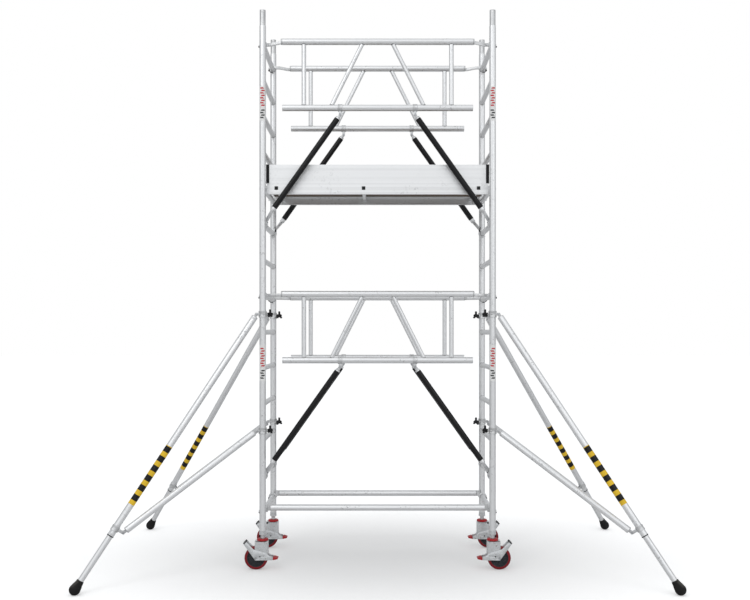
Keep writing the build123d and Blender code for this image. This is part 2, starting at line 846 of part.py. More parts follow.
for corner, signs in corners.items():
    write_node(f"leg_spindle_{corner}", [to_corner(piece.part, *signs) for piece in (spindle, swivel_cap)])
    write_node(f"caster_fork_{corner}", [to_corner(piece.part, *signs) for piece in (fork, axle_bolt)])
    write_node(f"caster_wheel_{corner}", [to_corner(piece.part, *signs) for piece in (wheel_core, tyre)])
    write_node(f"brake_pedal_{corner}", [to_corner(pedal.part, *signs)])


# ---- diagonal braces, made for the +X +Y corner
def brace_plane(pivot_z, rung_z):
    """Plane of a brace: X along it from the pin, Y outward and up, Z inward."""
    along = Vector(post_x - brace_x, 0, rung_z - pivot_z)
    return Plane((brace_x, post_y, pivot_z), x_dir=along, z_dir=(0, -1, 0)), along.length


def brace_claw(plane, length):
    """Plug, bent bar and claw at the lower end of a brace; the claw swings off sideways."""
    inward = post_y - claw_y
    plug_start = plane.origin + plane.x_dir * (brace_tube_end - plug_length)
    start = Plane(plug_start, x_dir=plane.y_dir, z_dir=plane.x_dir)
    flat = Plane(plane.origin, x_dir=plane.x_dir, z_dir=plane.y_dir).offset(-hook_bar_height / 2)
    with BuildPart() as made:
        with BuildSketch(start):
            Circle(brace_tube_r - brace_wall - fit_gap)
        extrude(amount=plug_length)
        with BuildSketch(start.offset(plug_length)):
            Circle(brace_tube_r)
        extrude(amount=hook_bar)
        with BuildSketch(flat):
            with BuildLine():
                Polyline(
                    (brace_tube_end, 0),
                    (brace_tube_end + hook_bar, 0),
                    (brace_bend_end, -inward),
                    (length - seat_r - hook_bar / 2, -inward),
                )
            trace(line_width=hook_bar)
        extrude(amount=hook_bar_height)
        with BuildSketch(plane.offset(inward - claw_width / 2)):
            with Locations(Location((length, 0, 0), (0, 0, 90))):
                draw_claw()
        extrude(amount=claw_width)
    return made.part


def open_catch(plane, length):
    """Catch on a brace's claw, held back so that the claw can leave the rung."""
    face = plane.offset(post_y - claw_y + claw_width / 2)
    back = length - catch_side
    return catch(face, [(back, -catch_drop), (back - rung_r, catch_drop), (back - 1.5 * rung_r, catch_drop)])


def brace_solids(pivot_z, rung_z):
    """All pieces of one brace."""
    plane, length = brace_plane(pivot_z, rung_z)
    bore = brace_tube_r - brace_wall
    tube_plane = Plane(plane.origin + plane.x_dir * tongue_length, z_dir=plane.x_dir)
    sleeve_plane = Plane(plane.origin + plane.x_dir * sleeve_start, z_dir=plane.x_dir)
    return [
        tongue(plane, bore - fit_gap, brace_tube_r),
        tube(tube_plane, brace_tube_end - tongue_length, brace_tube_r, bore),
        tube(sleeve_plane, sleeve_end - sleeve_start, sleeve_r, brace_tube_r + weld_gap),
        brace_claw(plane, length),
        open_catch(plane, length),
    ]


for level, rail_rung, rung_z in (
    ("lower", lower_rungs[-1], lower_rungs[1]),
    ("upper", upper_rungs[-1], upper_rungs[1]),
):
    pieces = brace_solids(rail_rung + rail_rise - guard_height - brace_drop, rung_z)
    for corner, signs in corners.items():
        write_node(f"{level}_brace_{corner}", [to_corner(piece, *signs) for piece in pieces])

# ---- stabilisers, made for the +X +Y corner
out = Vector(cos(radians(stabiliser_angle)), sin(radians(stabiliser_angle)), 0)
side = Vector(out.Y, -out.X, 0)
upward = Vector(0, 0, 1)
post_axis = Vector(post_x, post_y, 0)
upper_pin = post_axis + out * coupler_reach + upward * upper_coupler_z
lower_pin = post_axis + out * coupler_reach + upward * lower_coupler_z
foot_centre = post_axis + out * foot_reach + upward * foot_centre_z
leg_dir = (foot_centre - upper_pin).normalized()
leg_length = (foot_centre - upper_pin).length
leg_plane = Plane(upper_pin, x_dir=leg_dir, z_dir=side)
prop_collar_plane = Plane(upper_pin + leg_dir * prop_joint, x_dir=leg_dir, z_dir=side)
prop_pin = prop_collar_plane.origin - prop_collar_plane.y_dir * prop_drop
prop_dir = (prop_pin - lower_pin).normalized()
prop_length = (prop_pin - lower_pin).length
prop_plane = Plane(lower_pin, x_dir=prop_dir, z_dir=side)
prop_end_plane = Plane(prop_pin, x_dir=-prop_dir, z_dir=side)


def along_leg(distance):
    """Plane across the main tube at a distance from its upper pin."""
    return Plane(upper_pin + leg_dir * distance, x_dir=side, z_dir=leg_dir)


def coupler_plane(z):
    """Plane of a post coupler: X up the post, Z along the pin, the pin at -Y."""
    return Plane(post_axis + upward * z, x_dir=upward, z_dir=side)


def coupler(z):
    """Coupler round the post with a fork outside and a threaded stud inside."""
    body = collar(coupler_plane(z), post_r, coupler_wall, coupler_height, coupler_reach, fit_gap)
    with BuildPart() as made:
        add(body)
        with BuildSketch(Plane(post_axis + upward * z - out * (post_r + 1), x_dir=upward, z_dir=-out)):
            Circle(stud_r)
        extrude(amount=knob_stud_end - post_r - 1)
    return made.part


def knob(z):
    """Three-wing knob on the coupler's stud."""
    start = Plane(post_axis + upward * z - out * knob_start, x_dir=upward, z_dir=-out)
    with BuildPart() as made:
        with BuildSketch(start):
            Circle(knob_hub_r)
        extrude(amount=knob_end - knob_start)
        with BuildSketch(start.offset((knob_end - knob_start - knob_wing_thick) / 2)):
            with PolarLocations((knob_wing_reach + knob_wing_width) / 2 - 2, 3):
                SlotOverall(knob_wing_reach - knob_wing_width + 4, knob_wing_width)
        extrude(amount=knob_wing_thick)
        with BuildSketch(start):
            Circle(stud_r + fit_gap)
        extrude(amount=knob_stud_end - knob_start + seat_gap, mode=Mode.SUBTRACT)
    return made.part


def end_bush():
    """Plastic bush that guides the inner tube in the end of the outer tube."""
    with BuildPart() as made:
        with BuildSketch(along_leg(leg_tube_end - bush_length)):
            Circle(leg_tube_r - leg_tube_wall - fit_gap)
        extrude(amount=bush_length)
        with BuildSketch(along_leg(leg_tube_end)):
            Circle(leg_tube_r + 2)
        extrude(amount=bush_flange)
        with BuildSketch(along_leg(leg_tube_end - bush_length)):
            Circle(inner_tube_r + fit_gap)
        extrude(amount=bush_length + bush_flange, mode=Mode.SUBTRACT)
    return made.part


def rubber_foot():
    """Bell-shaped rubber foot on the inner tube, flat where it stands on the floor."""
    neck = hypot(foot_neck, foot_neck_r)
    touch = atan2(foot_neck_r, -foot_neck) - acos(foot_r / neck)
    with BuildPart() as made:
        with BuildSketch(Plane(foot_centre, x_dir=leg_dir, z_dir=side)):
            with BuildLine():
                meets = (foot_r * cos(touch), foot_r * sin(touch))
                midway = (foot_r * cos(touch / 2), foot_r * sin(touch / 2))
                Polyline((-foot_neck, 0), (-foot_neck, foot_neck_r), meets)
                ThreePointArc(meets, midway, (foot_r, 0))
                Line((foot_r, 0), (-foot_neck, 0))
            make_face()
        revolve(axis=Axis(foot_centre, leg_dir))
        with BuildSketch(along_leg(leg_length)):
            Circle(inner_tube_r + weld_gap)
        extrude(amount=-2 * foot_neck, mode=Mode.SUBTRACT)
        with BuildSketch(Plane((foot_centre.X, foot_centre.Y, -foot_r))):
            Rectangle(4 * foot_r, 4 * foot_r)
        extrude(amount=foot_r, mode=Mode.SUBTRACT)
    return made.part


leg_bore = leg_tube_r - leg_tube_wall
prop_bore = prop_r - prop_wall
prop_start = Plane(lower_pin + prop_dir * tongue_length, z_dir=prop_dir)
inner_length = leg_length - inner_tube_start - seat_gap
leg_solids = [
    tongue(leg_plane, leg_bore - fit_gap, leg_tube_r),
    tube(along_leg(tongue_length), leg_tube_end - tongue_length, leg_tube_r, leg_bore),
    end_bush(),
    collar(prop_collar_plane, leg_tube_r, collar_wall, prop_collar, prop_drop, fit_gap),
    collar_pin(prop_collar_plane, prop_drop),
    tongue(prop_plane, prop_bore - fit_gap, prop_r),
    tube(prop_start, prop_length - 2 * tongue_length, prop_r, prop_bore),
    tongue(prop_end_plane, prop_bore - fit_gap, prop_r),
]
coupler_solids = [coupler(upper_coupler_z), coupler(lower_coupler_z)] + [
    collar_pin(coupler_plane(z), coupler_reach) for z in (upper_coupler_z, lower_coupler_z)
]
foot_solids = [
    tube(along_leg(inner_tube_start), inner_length, inner_tube_r, inner_tube_r - inner_tube_wall),
    rubber_foot(),
]
upper_knob = knob(upper_coupler_z)
lower_knob = knob(lower_coupler_z)

for corner, signs in corners.items():
    write_node(f"stabiliser_{corner}", [to_corner(piece, *signs) for piece in leg_solids])
    write_node(f"stabiliser_couplers_{corner}", [to_corner(piece, *signs) for piece in coupler_solids])
    write_node(f"stabiliser_foot_{corner}", [to_corner(piece, *signs) for piece in foot_solids])
    write_node(f"upper_knob_{corner}", [to_corner(upper_knob, *signs)])
    write_node(f"lower_knob_{corner}", [to_corner(lower_knob, *signs)])
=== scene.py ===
import math

import bmesh
import bpy
from mathutils import Matrix, Vector


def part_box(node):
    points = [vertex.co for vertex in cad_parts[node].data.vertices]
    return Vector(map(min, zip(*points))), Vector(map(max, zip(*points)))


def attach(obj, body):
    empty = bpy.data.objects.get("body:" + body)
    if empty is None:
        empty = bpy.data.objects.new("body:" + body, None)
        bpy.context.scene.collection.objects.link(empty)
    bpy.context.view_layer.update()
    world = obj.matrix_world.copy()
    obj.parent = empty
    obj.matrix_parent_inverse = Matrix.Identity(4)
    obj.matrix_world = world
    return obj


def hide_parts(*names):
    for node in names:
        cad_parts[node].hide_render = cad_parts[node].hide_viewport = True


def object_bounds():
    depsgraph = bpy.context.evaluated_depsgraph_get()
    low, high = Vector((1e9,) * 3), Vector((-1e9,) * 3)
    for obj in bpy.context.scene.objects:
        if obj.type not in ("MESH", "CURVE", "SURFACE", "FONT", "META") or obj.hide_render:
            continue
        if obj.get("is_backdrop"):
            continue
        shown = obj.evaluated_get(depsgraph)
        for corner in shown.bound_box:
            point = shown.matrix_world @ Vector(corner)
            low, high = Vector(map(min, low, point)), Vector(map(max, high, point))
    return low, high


# %% [markdown]
# # A mobile tower scaffold
# The tower is two storeys of aluminium ladder frames, with guardrails, a platform and four
# stabilisers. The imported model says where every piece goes, so it is loaded first. The real tower
# is tube, and tube is quick to make from rings of points, so most pieces are built in mesh code.

# %% Load the frame
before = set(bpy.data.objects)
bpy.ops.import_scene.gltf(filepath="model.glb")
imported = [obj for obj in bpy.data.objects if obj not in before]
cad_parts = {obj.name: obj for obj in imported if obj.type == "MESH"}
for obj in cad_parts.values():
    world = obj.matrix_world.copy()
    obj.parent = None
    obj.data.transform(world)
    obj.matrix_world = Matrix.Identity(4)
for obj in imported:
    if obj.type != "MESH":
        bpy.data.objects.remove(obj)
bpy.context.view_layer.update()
scene = bpy.context.scene

# %% [markdown]
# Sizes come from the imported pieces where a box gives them. The rest are the maker's own sizes,
# in metres, such as the pitch of the rungs or the radius of a rail.

# %% Main sizes
frame_low, frame_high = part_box("lower_right_frame")
post_r = (frame_high.x - frame_low.x) / 2
post_x = frame_high.x - post_r
post_y = frame_high.y - post_r
frame_bottom = frame_low.z
joint_z = frame_high.z
frame_height = joint_z - frame_bottom
post_bore = post_r - 0.002
rung_r, rung_bore, rung_pitch = 0.020, 0.0182, 0.28
seat_r = rung_r + 0.0003
lower_rungs = [frame_bottom + rung_pitch * (step + 0.5) for step in range(7)]
upper_rungs = [z + frame_height for z in lower_rungs]
corners = {"front_left": (-1, -1), "front_right": (1, -1), "back_left": (-1, 1), "back_right": (1, 1)}
post_axis = Vector((post_x, post_y, 0))
print("posts at", round(post_x, 3), round(post_y, 3), "joint at", round(joint_z, 3))

# %% [markdown]
# ## Shapes
# A shape here is a list of points and a list of faces. Each face also keeps its corners on a flat
# map measured in metres, so that a streak or a line can run along a tube whichever way it points.
# Blender's own primitives would need the same cleaning up afterwards, and they have no bore.

# %% Turned shapes: tubes, rods, rings
def turned(profile, steps=24, groove=0.0, closed=True):
    """Shape turned round Z from (height, radius) pairs; every second line of the widest wall
    is sunk by the groove, as on a ribbed extrusion."""
    widest = max(radius for _, radius in profile)
    points, rows, faces, maps = [], [], [], []
    for height, radius in profile:
        if radius < 1e-6:
            rows.append([len(points)] * steps)
            points.append(Vector((0, 0, height)))
            continue
        rows.append(list(range(len(points), len(points) + steps)))
        for step in range(steps):
            angle = 2 * math.pi * step / steps
            sunk = radius - groove if step % 2 and radius > widest - 1e-6 else radius
            points.append(Vector((sunk * math.cos(angle), sunk * math.sin(angle), height)))
    for index in range(len(profile) if closed else len(profile) - 1):
        low, high = rows[index], rows[(index + 1) % len(rows)]
        low_z, high_z = profile[index][0], profile[(index + 1) % len(rows)][0]
        for step in range(steps):
            after = (step + 1) % steps
            around = [2 * math.pi * widest * (step + side) / steps for side in (0, 1)]
            face = [low[step], low[after], high[after], high[step]]
            spots = [(around[0], low_z), (around[1], low_z), (around[1], high_z), (around[0], high_z)]
            kept = [i for i in range(4) if face[i] != face[i - 1]]
            if len(kept) > 2:
                faces.append([face[i] for i in kept])
                maps.append([spots[i] for i in kept])
    return points, faces, maps


def placed(shape, place):
    """The shape moved by a matrix."""
    points, faces, maps = shape
    return [place @ point for point in points], faces, maps


def frame_at(origin, along, side=None):
    """Matrix whose Z runs along a direction, and whose X is as near as it can be to side."""
    z_axis = Vector(along).normalized()
    x_axis = Vector(side) if side is not None else z_axis.orthogonal()
    y_axis = z_axis.cross(x_axis).normalized()
    x_axis = y_axis.cross(z_axis)
    place = Matrix((x_axis, y_axis, z_axis)).transposed().to_4x4()
    place.translation = Vector(origin)
    return place


def tube(start, end, outer, bore=0.0, steps=24, groove=0.0, edge=0.0008):
    """Tube or solid rod between two points, with its sharp ends taken off."""
    start, end = Vector(start), Vector(end)
    length = (end - start).length
    outside = [(edge, outer), (length - edge, outer), (length, outer - edge)]
    if bore:
        profile = [*outside, (length, bore), (0, bore), (0, outer - edge)]
        made = turned(profile, steps, groove)
    else:
        profile = [(0, 0), (0, outer - edge), *outside, (length, 0)]
        made = turned(profile, steps, groove, closed=False)
    return placed(made, frame_at(start, end - start))


print("a rung has", len(tube((0, 0, 0), (0, 0.7, 0), rung_r, rung_bore, 48)[1]), "faces")

# %% [markdown]
# Flat pieces such as claws, ears, pedals and fork legs are cut or pressed from plate. A 2D curve
# fills an outline with its holes and rounds its edges in one go, which a box with a bevel can't.

# %% Flat plates
def plate(outline, thickness, place, edge=0.001, holes=()):
    """Plate with rounded edges, from an outline in its own X and Y, half each side of Z."""
    curve = bpy.data.curves.new("outline", "CURVE")
    curve.dimensions, curve.fill_mode = "2D", "BOTH"
    curve.extrude = thickness / 2 - edge
    curve.bevel_depth, curve.bevel_resolution, curve.offset = edge, 1, -edge
    for line in (outline, *holes):
        spline = curve.splines.new("POLY")
        spline.points.add(len(line) - 1)
        for point, (x, y) in zip(spline.points, line):
            point.co = (x, y, 0, 1)
        spline.use_cyclic_u = True
    holder = bpy.data.objects.new("outline", curve)
    mesh = bpy.data.meshes.new_from_object(holder)
    work = bmesh.new()
    work.from_mesh(mesh)
    bmesh.ops.remove_doubles(work, verts=work.verts, dist=1e-6)
    bmesh.ops.recalc_face_normals(work, faces=work.faces)
    points = [place @ vert.co for vert in work.verts]
    work.verts.index_update()
    faces = [[vert.index for vert in face.verts] for face in work.faces]
    maps = [[(vert.co.x, vert.co.y + vert.co.z) for vert in face.verts] for face in work.faces]
    work.free()
    bpy.data.objects.remove(holder)
    bpy.data.meshes.remove(mesh)
    bpy.data.curves.remove(curve)
    return points, faces, maps


def arc(centre, radius, start, end, count=12):
    """Points on an arc, with its angles in degrees."""
    angles = [math.radians(start + (end - start) * step / count) for step in range(count + 1)]
    return [(centre[0] + radius * math.cos(a), centre[1] + radius * math.sin(a)) for a in angles]


def circle(centre, radius, count=20):
    """A full circle as points."""
    return arc(centre, radius, 0, 360, count)[:-1]


def softened(outline, radius, count=3):
    """The outline with each corner rounded."""
    made = []
    for index, corner in enumerate(outline):
        here = Vector(corner)
        before, after = Vector(outline[index - 1]), Vector(outline[(index + 1) % len(outline)])
        cut = min(radius, (before - here).length * 0.45, (after - here).length * 0.45)
        start, end = here + (before - here).normalized() * cut, here + (after - here).normalized() * cut
        for step in range(count + 1):
            t = step / count
            point = start * (1 - t) ** 2 + here * 2 * t * (1 - t) + end * t**2
            made.append((point.x, point.y))
    return made


def rectangle(left, right, low, high):
    """Corners of a rectangle."""
    return [(left, low), (right, low), (right, high), (left, high)]


def strip(path, width):
    """Outline of a bar of one width that follows a path of points."""
    spots = [Vector(point) for point in path]
    sides = []
    for index, spot in enumerate(spots):
        ways = [(b - a).normalized() for a, b in zip(spots, spots[1:])][max(index - 1, 0) : index + 1]
        normals = [Vector((-way.y, way.x)) for way in ways]
        mitre = sum(normals, Vector((0, 0))).normalized()
        sides.append((spot, mitre * width / 2 / max(mitre.dot(normals[0]), 0.3)))
    left = [tuple(spot + side) for spot, side in sides]
    return [tuple(spot - side) for spot, side in sides] + left[::-1]


print("an ear has", len(plate(circle((0, 0), 0.011), 0.004, Matrix(), holes=[circle((0, 0), 0.005)])[1]))

# %% [markdown]
# Welds show on a real frame as a rippled bead where one round tube meets another. The bead follows
# the saddle line between the two tubes, so its points are worked out from both radii. A texture
# could only hint at it, and from a few steps away the little ridge is what the eye reads.

# %% Weld beads
def weld(meeting, branch, branch_r, main, main_r, radius=0.0035, count=32):
    """Bead round a branch tube that leaves a main tube; meeting is where their axes cross."""
    away, across = Vector(branch).normalized(), Vector(main).normalized()
    side = away.cross(across).normalized()
    ahead = side.cross(away)
    up = across.cross(side)
    rise, tilt = up.dot(away), up.dot(ahead)
    ring = []
    for step in range(count):
        angle = 2 * math.pi * step / count
        reach = math.sqrt(main_r**2 - (branch_r * math.sin(angle)) ** 2) * math.copysign(1, rise)
        along = (reach - branch_r * math.cos(angle) * tilt) / rise
        outward = ahead * math.cos(angle) + side * math.sin(angle)
        ring.append((Vector(meeting) + outward * branch_r + away * along, outward))
    points, faces, maps = [], [], []
    sections = 6
    for index, (spot, outward) in enumerate(ring):
        run = (ring[(index + 1) % count][0] - ring[index - 1][0]).normalized()
        lift = run.cross(outward).normalized()
        swell = radius * (1.0 if index % 2 else 0.8)
        for turn in range(sections):
            angle = 2 * math.pi * turn / sections
            points.append(spot + (outward * math.cos(angle) + lift * math.sin(angle)) * swell)
    for index in range(count):
        following = (index + 1) % count
        for turn in range(sections):
            after = (turn + 1) % sections
            face = [index * sections + turn, following * sections + turn]
            faces.append([*face, following * sections + after, index * sections + after])
            maps.append([(0.0, 0.0), (0.01, 0.0), (0.01, 0.01), (0.0, 0.01)])
    return points, faces, maps


print("a bead has", len(weld((0, 0, 0), (0, 1, 0), rung_r, (0, 0, 1), post_r)[1]), "faces")

# %% [markdown]
# ## Materials
# Effects that several finishes share are node groups: fine grain, lines left by the extrusion die,
# marks from handling, and dust that settles on top. Each group only gives numbers over the surface.
# The shader itself stays in each material.

# %% A helper for node groups
def new_group(name, inputs, outputs):
    """Empty shader group with named sockets; gives the tree and its two end nodes."""
    tree = bpy.data.node_groups.new(name, "ShaderNodeTree")
    for label, kind, value in inputs:
        socket = tree.interface.new_socket(label, in_out="INPUT", socket_type=kind)
        if value is not None:
            socket.default_value = value
    for label in outputs:
        tree.interface.new_socket(label, in_out="OUTPUT", socket_type="NodeSocketFloat")
    return tree, tree.nodes.new("NodeGroupInput"), tree.nodes.new("NodeGroupOutput")


def maths(tree, operation, first, second=0.5):
    """A maths node fed by sockets or plain numbers."""
    node = tree.nodes.new("ShaderNodeMath")
    node.operation = operation
    for slot, value in zip(node.inputs, (first, second)):
        if isinstance(value, (int, float)):
            slot.default_value = value
        else:
            tree.links.new(value, slot)
    return node.outputs[0]


def remapped(tree, value, low, high, to_low, to_high):
    """A value stretched from one range to another and held inside it."""
    node = tree.nodes.new("ShaderNodeMapRange")
    tree.links.new(value, node.inputs["Value"])
    for label, number in zip(("From Min", "From Max", "To Min", "To Max"), (low, high, to_low, to_high)):
        if isinstance(number, (int, float)):
            node.inputs[label].default_value = number
        else:
            tree.links.new(number, node.inputs[label])
    return node.outputs["Result"]


def noise(tree, vector, scale, detail=2.0):
    """Noise at a scale, over a vector."""
    node = tree.nodes.new("ShaderNodeTexNoise")
    node.inputs["Detail"].default_value = detail
    tree.links.new(vector, node.inputs["Vector"])
    if isinstance(scale, (int, float)):
        node.inputs["Scale"].default_value = scale
    else:
        tree.links.new(scale, node.inputs["Scale"])
    return node.outputs[0]


# %% [markdown]
# Grain is noise at two scales: a coarse one for blotches and a fine one for the skin of a casting.

# %% Fine grain
VECTOR, NUMBER = "NodeSocketVector", "NodeSocketFloat"
fine_grain, grain_in, grain_out = new_group(
    "fine_grain", [("Vector", VECTOR, None), ("Scale", NUMBER, 400.0)], ["Grain", "Blotches"]
)
fine = noise(fine_grain, grain_in.outputs["Vector"], grain_in.outputs["Scale"], 3.0)
fine_grain.links.new(remapped(fine_grain, fine, 0.3, 0.7, 0.0, 1.0), grain_out.inputs["Grain"])
coarse_scale = maths(fine_grain, "MULTIPLY", grain_in.outputs["Scale"], 0.03)
coarse = noise(fine_grain, grain_in.outputs["Vector"], coarse_scale, 4.0)
fine_grain.links.new(remapped(fine_grain, coarse, 0.3, 0.7, 0.0, 1.0), grain_out.inputs["Blotches"])
print("group", fine_grain.name)

# %% [markdown]
# A die leaves fine lines along an extrusion. Noise that is tight one way and stretched the other
# way makes them, so the group takes a separate scale for each direction.

# %% Die lines
die_lines, lines_in, lines_out = new_group(
    "die_lines", [("Vector", VECTOR, None), ("Scales", VECTOR, (400.0, 3.0, 3.0))], ["Lines", "Tone"]
)
stretch = die_lines.nodes.new("ShaderNodeVectorMath")
stretch.operation = "MULTIPLY"
die_lines.links.new(lines_in.outputs["Vector"], stretch.inputs[0])
die_lines.links.new(lines_in.outputs["Scales"], stretch.inputs[1])
thin = noise(die_lines, stretch.outputs[0], 1.0, 3.0)
die_lines.links.new(remapped(die_lines, thin, 0.35, 0.65, 0.0, 1.0), lines_out.inputs["Lines"])
broad = noise(die_lines, stretch.outputs[0], 0.17, 2.0)
die_lines.links.new(remapped(die_lines, broad, 0.35, 0.65, 0.0, 1.0), lines_out.inputs["Tone"])
print("group", die_lines.name)

# %% [markdown]
# A hire tower is handled every day. The marks are short scuffs: the thin peaks of one noise, kept
# only where a second, larger noise is high, so that they come in groups and leave clean stretches.

# %% Handling marks
handling, marks_in, marks_out = new_group(
    "handling_marks",
    [("Vector", VECTOR, None), ("Scale", NUMBER, 60.0), ("Amount", NUMBER, 0.5)],
    ["Marks"],
)
scratch = noise(handling, marks_in.outputs["Vector"], marks_in.outputs["Scale"], 6.0)
peaks = remapped(handling, scratch, 0.58, 0.64, 0.0, 1.0)
area_scale = maths(handling, "MULTIPLY", marks_in.outputs["Scale"], 0.1)
areas = remapped(handling, noise(handling, marks_in.outputs["Vector"], area_scale), 0.48, 0.62, 0.0, 1.0)
grouped = maths(handling, "MULTIPLY", peaks, areas)
scaled = maths(handling, "MULTIPLY", grouped, marks_in.outputs["Amount"])
handling.links.new(scaled, marks_out.inputs["Marks"])
print("group", handling.name)

# %% [markdown]
# Dust lies on faces that look up, and thins out unevenly. The group reads the surface's own normal.

# %% Settled dust
dust, dust_in, dust_out = new_group(
    "settled_dust", [("Vector", VECTOR, None), ("Amount", NUMBER, 0.3)], ["Dust"]
)
surface = dust.nodes.new("ShaderNodeNewGeometry")
apart = dust.nodes.new("ShaderNodeSeparateXYZ")
dust.links.new(surface.outputs["Normal"], apart.inputs[0])
facing_up = remapped(dust, apart.outputs["Z"], 0.5, 0.95, 0.0, 1.0)
patchy = remapped(dust, noise(dust, dust_in.outputs["Vector"], 9.0, 5.0), 0.3, 0.7, 0.35, 1.0)
lying = maths(dust, "MULTIPLY", facing_up, patchy)
dust.links.new(maths(dust, "MULTIPLY", lying, dust_in.outputs["Amount"]), dust_out.inputs["Dust"])
print("group", dust.name)

# %% [markdown]
# Every finish starts the same way: a Principled shader, a place to read the surface from, and a few
# of the groups. The flat map in metres suits tubes; plain object coordinates suit cast and flat pieces.

# %% Starting a finish
def new_finish(name, metallic=0.0, by_map=False):
    """Material with its shader and a socket to read the surface from."""
    material = bpy.data.materials.new(name)
    material.use_nodes = True
    tree = material.node_tree
    shader = tree.nodes["Principled BSDF"]
    shader.inputs["Metallic"].default_value = metallic
    if by_map:
        place = tree.nodes.new("ShaderNodeUVMap")
        place.uv_map = "metres"
        return material, tree, shader, place.outputs["UV"]
    place = tree.nodes.new("ShaderNodeTexCoord")
    return material, tree, shader, place.outputs["Object"]


def use_group(tree, group, vector, **values):
    """The group placed in a material with its own values."""
    node = tree.nodes.new("ShaderNodeGroup")
    node.node_tree = group
    tree.links.new(vector, node.inputs["Vector"])
    for label, value in values.items():
        node.inputs[label].default_value = value
    return node.outputs


def tinted(tree, mask, first, second):
    """Colour that goes from first to second by a mask; either may be a socket."""
    node = tree.nodes.new("ShaderNodeMix")
    node.data_type = "RGBA"
    tree.links.new(mask, node.inputs["Factor"])
    for slot, colour in ((node.inputs[6], first), (node.inputs[7], second)):
        if isinstance(colour, tuple):
            slot.default_value = (*colour, 1.0)
        else:
            tree.links.new(colour, slot)
    return node.outputs[2]


def finish_with(tree, shader, colour, roughness, height, depth):
    """Links colour, roughness and a bump of some depth in metres to the shader."""
    tree.links.new(colour, shader.inputs["Base Color"])
    tree.links.new(roughness, shader.inputs["Roughness"])
    bump = tree.nodes.new("ShaderNodeBump")
    bump.inputs["Distance"].default_value = depth
    bump.inputs["Strength"].default_value = 0.6
    tree.links.new(height, bump.inputs["Height"])
    tree.links.new(bump.outputs[0], shader.inputs["Normal"])


# %% [markdown]
# Mill-finish aluminium is bright and slightly dull, with die lines along it, a little variation in
# tone from bar to bar, and darker scuffs. The same maker serves tubes, beams and boards: only the
# tint, the direction of the lines and the roughness change.

# %% Aluminium sections
def aluminium(name, light, dark, rough, scales, by_map, marks=0.5, metallic=1.0, dusty=0.0):
    """Extruded aluminium; scales are how tight the die lines are in each direction."""
    material, tree, shader, place = new_finish(name, metallic, by_map)
    lines = use_group(tree, die_lines, place, Scales=scales)
    body = tree.nodes.new("ShaderNodeTexCoord").outputs["Object"]
    scuffs = use_group(tree, handling, body, Scale=55.0, Amount=marks)["Marks"]
    grain = use_group(tree, fine_grain, body, Scale=500.0)
    colour = tinted(tree, lines["Tone"], dark, light)
    colour = tinted(tree, scuffs, colour, tuple(part * 0.45 for part in light))
    if dusty:
        powder = use_group(tree, dust, body, Amount=dusty)["Dust"]
        colour = tinted(tree, powder, colour, (0.52, 0.48, 0.42))
    drawn = remapped(tree, lines["Lines"], 0.0, 1.0, rough - 0.05, rough + 0.06)
    roughness = maths(tree, "ADD", drawn, maths(tree, "MULTIPLY", scuffs, 0.25))
    height = maths(tree, "ADD", lines["Lines"], maths(tree, "MULTIPLY", grain["Grain"], 0.3))
    finish_with(tree, shader, colour, roughness, height, 0.00012)
    return material


tube_metal = aluminium(
    "tube_aluminium", (0.92, 0.925, 0.93), (0.82, 0.825, 0.835), 0.46, (900.0, 2.5, 1.0), True
)
beam_metal = aluminium(
    "beam_aluminium", (0.90, 0.905, 0.91), (0.80, 0.805, 0.81), 0.46, (1.5, 300.0, 300.0), False,
    marks=0.3, dusty=0.2
)
board_metal = aluminium(
    "board_aluminium", (0.92, 0.925, 0.93), (0.87, 0.875, 0.88), 0.42, (1.2, 60.0, 260.0), False,
    marks=0.15, metallic=0.7, dusty=0.2
)
print("made", tube_metal.name, beam_metal.name, board_metal.name)

# %% [markdown]
# Claws, hooks, collars and couplers are cast: greyer, with a sandy skin and bright rubbed marks
# scattered over it in groups. The weld is the same metal with a burnt, matt tone.

# %% Cast metal and weld
def casting(name, light, dark, rough, depth, metallic=1.0):
    """Cast or rough metal, from grain at two scales."""
    material, tree, shader, place = new_finish(name, metallic)
    grain = use_group(tree, fine_grain, place, Scale=700.0)
    scuffs = use_group(tree, handling, place, Scale=90.0, Amount=0.8)["Marks"]
    colour = tinted(tree, grain["Blotches"], dark, light)
    colour = tinted(tree, scuffs, colour, tuple(min(part * 1.4, 0.95) for part in light))
    roughness = remapped(tree, grain["Blotches"], 0.0, 1.0, rough - 0.07, rough + 0.09)
    finish_with(tree, shader, colour, roughness, grain["Grain"], depth)
    return material


cast_metal = casting("cast_aluminium", (0.76, 0.765, 0.77), (0.60, 0.605, 0.61), 0.46, 0.0003)
weld_metal = casting("weld_bead", (0.62, 0.62, 0.62), (0.42, 0.42, 0.43), 0.5, 0.0003)
pin_metal = casting("pin_steel", (0.60, 0.61, 0.62), (0.42, 0.43, 0.45), 0.32, 0.00005)
print("made", cast_metal.name, weld_metal.name, pin_metal.name)

# %% [markdown]
# The caster forks and leg nuts are zinc plated. Fresh zinc shows a faint pattern of crystals, which
# a Voronoi texture gives: each cell is a slightly different grey.

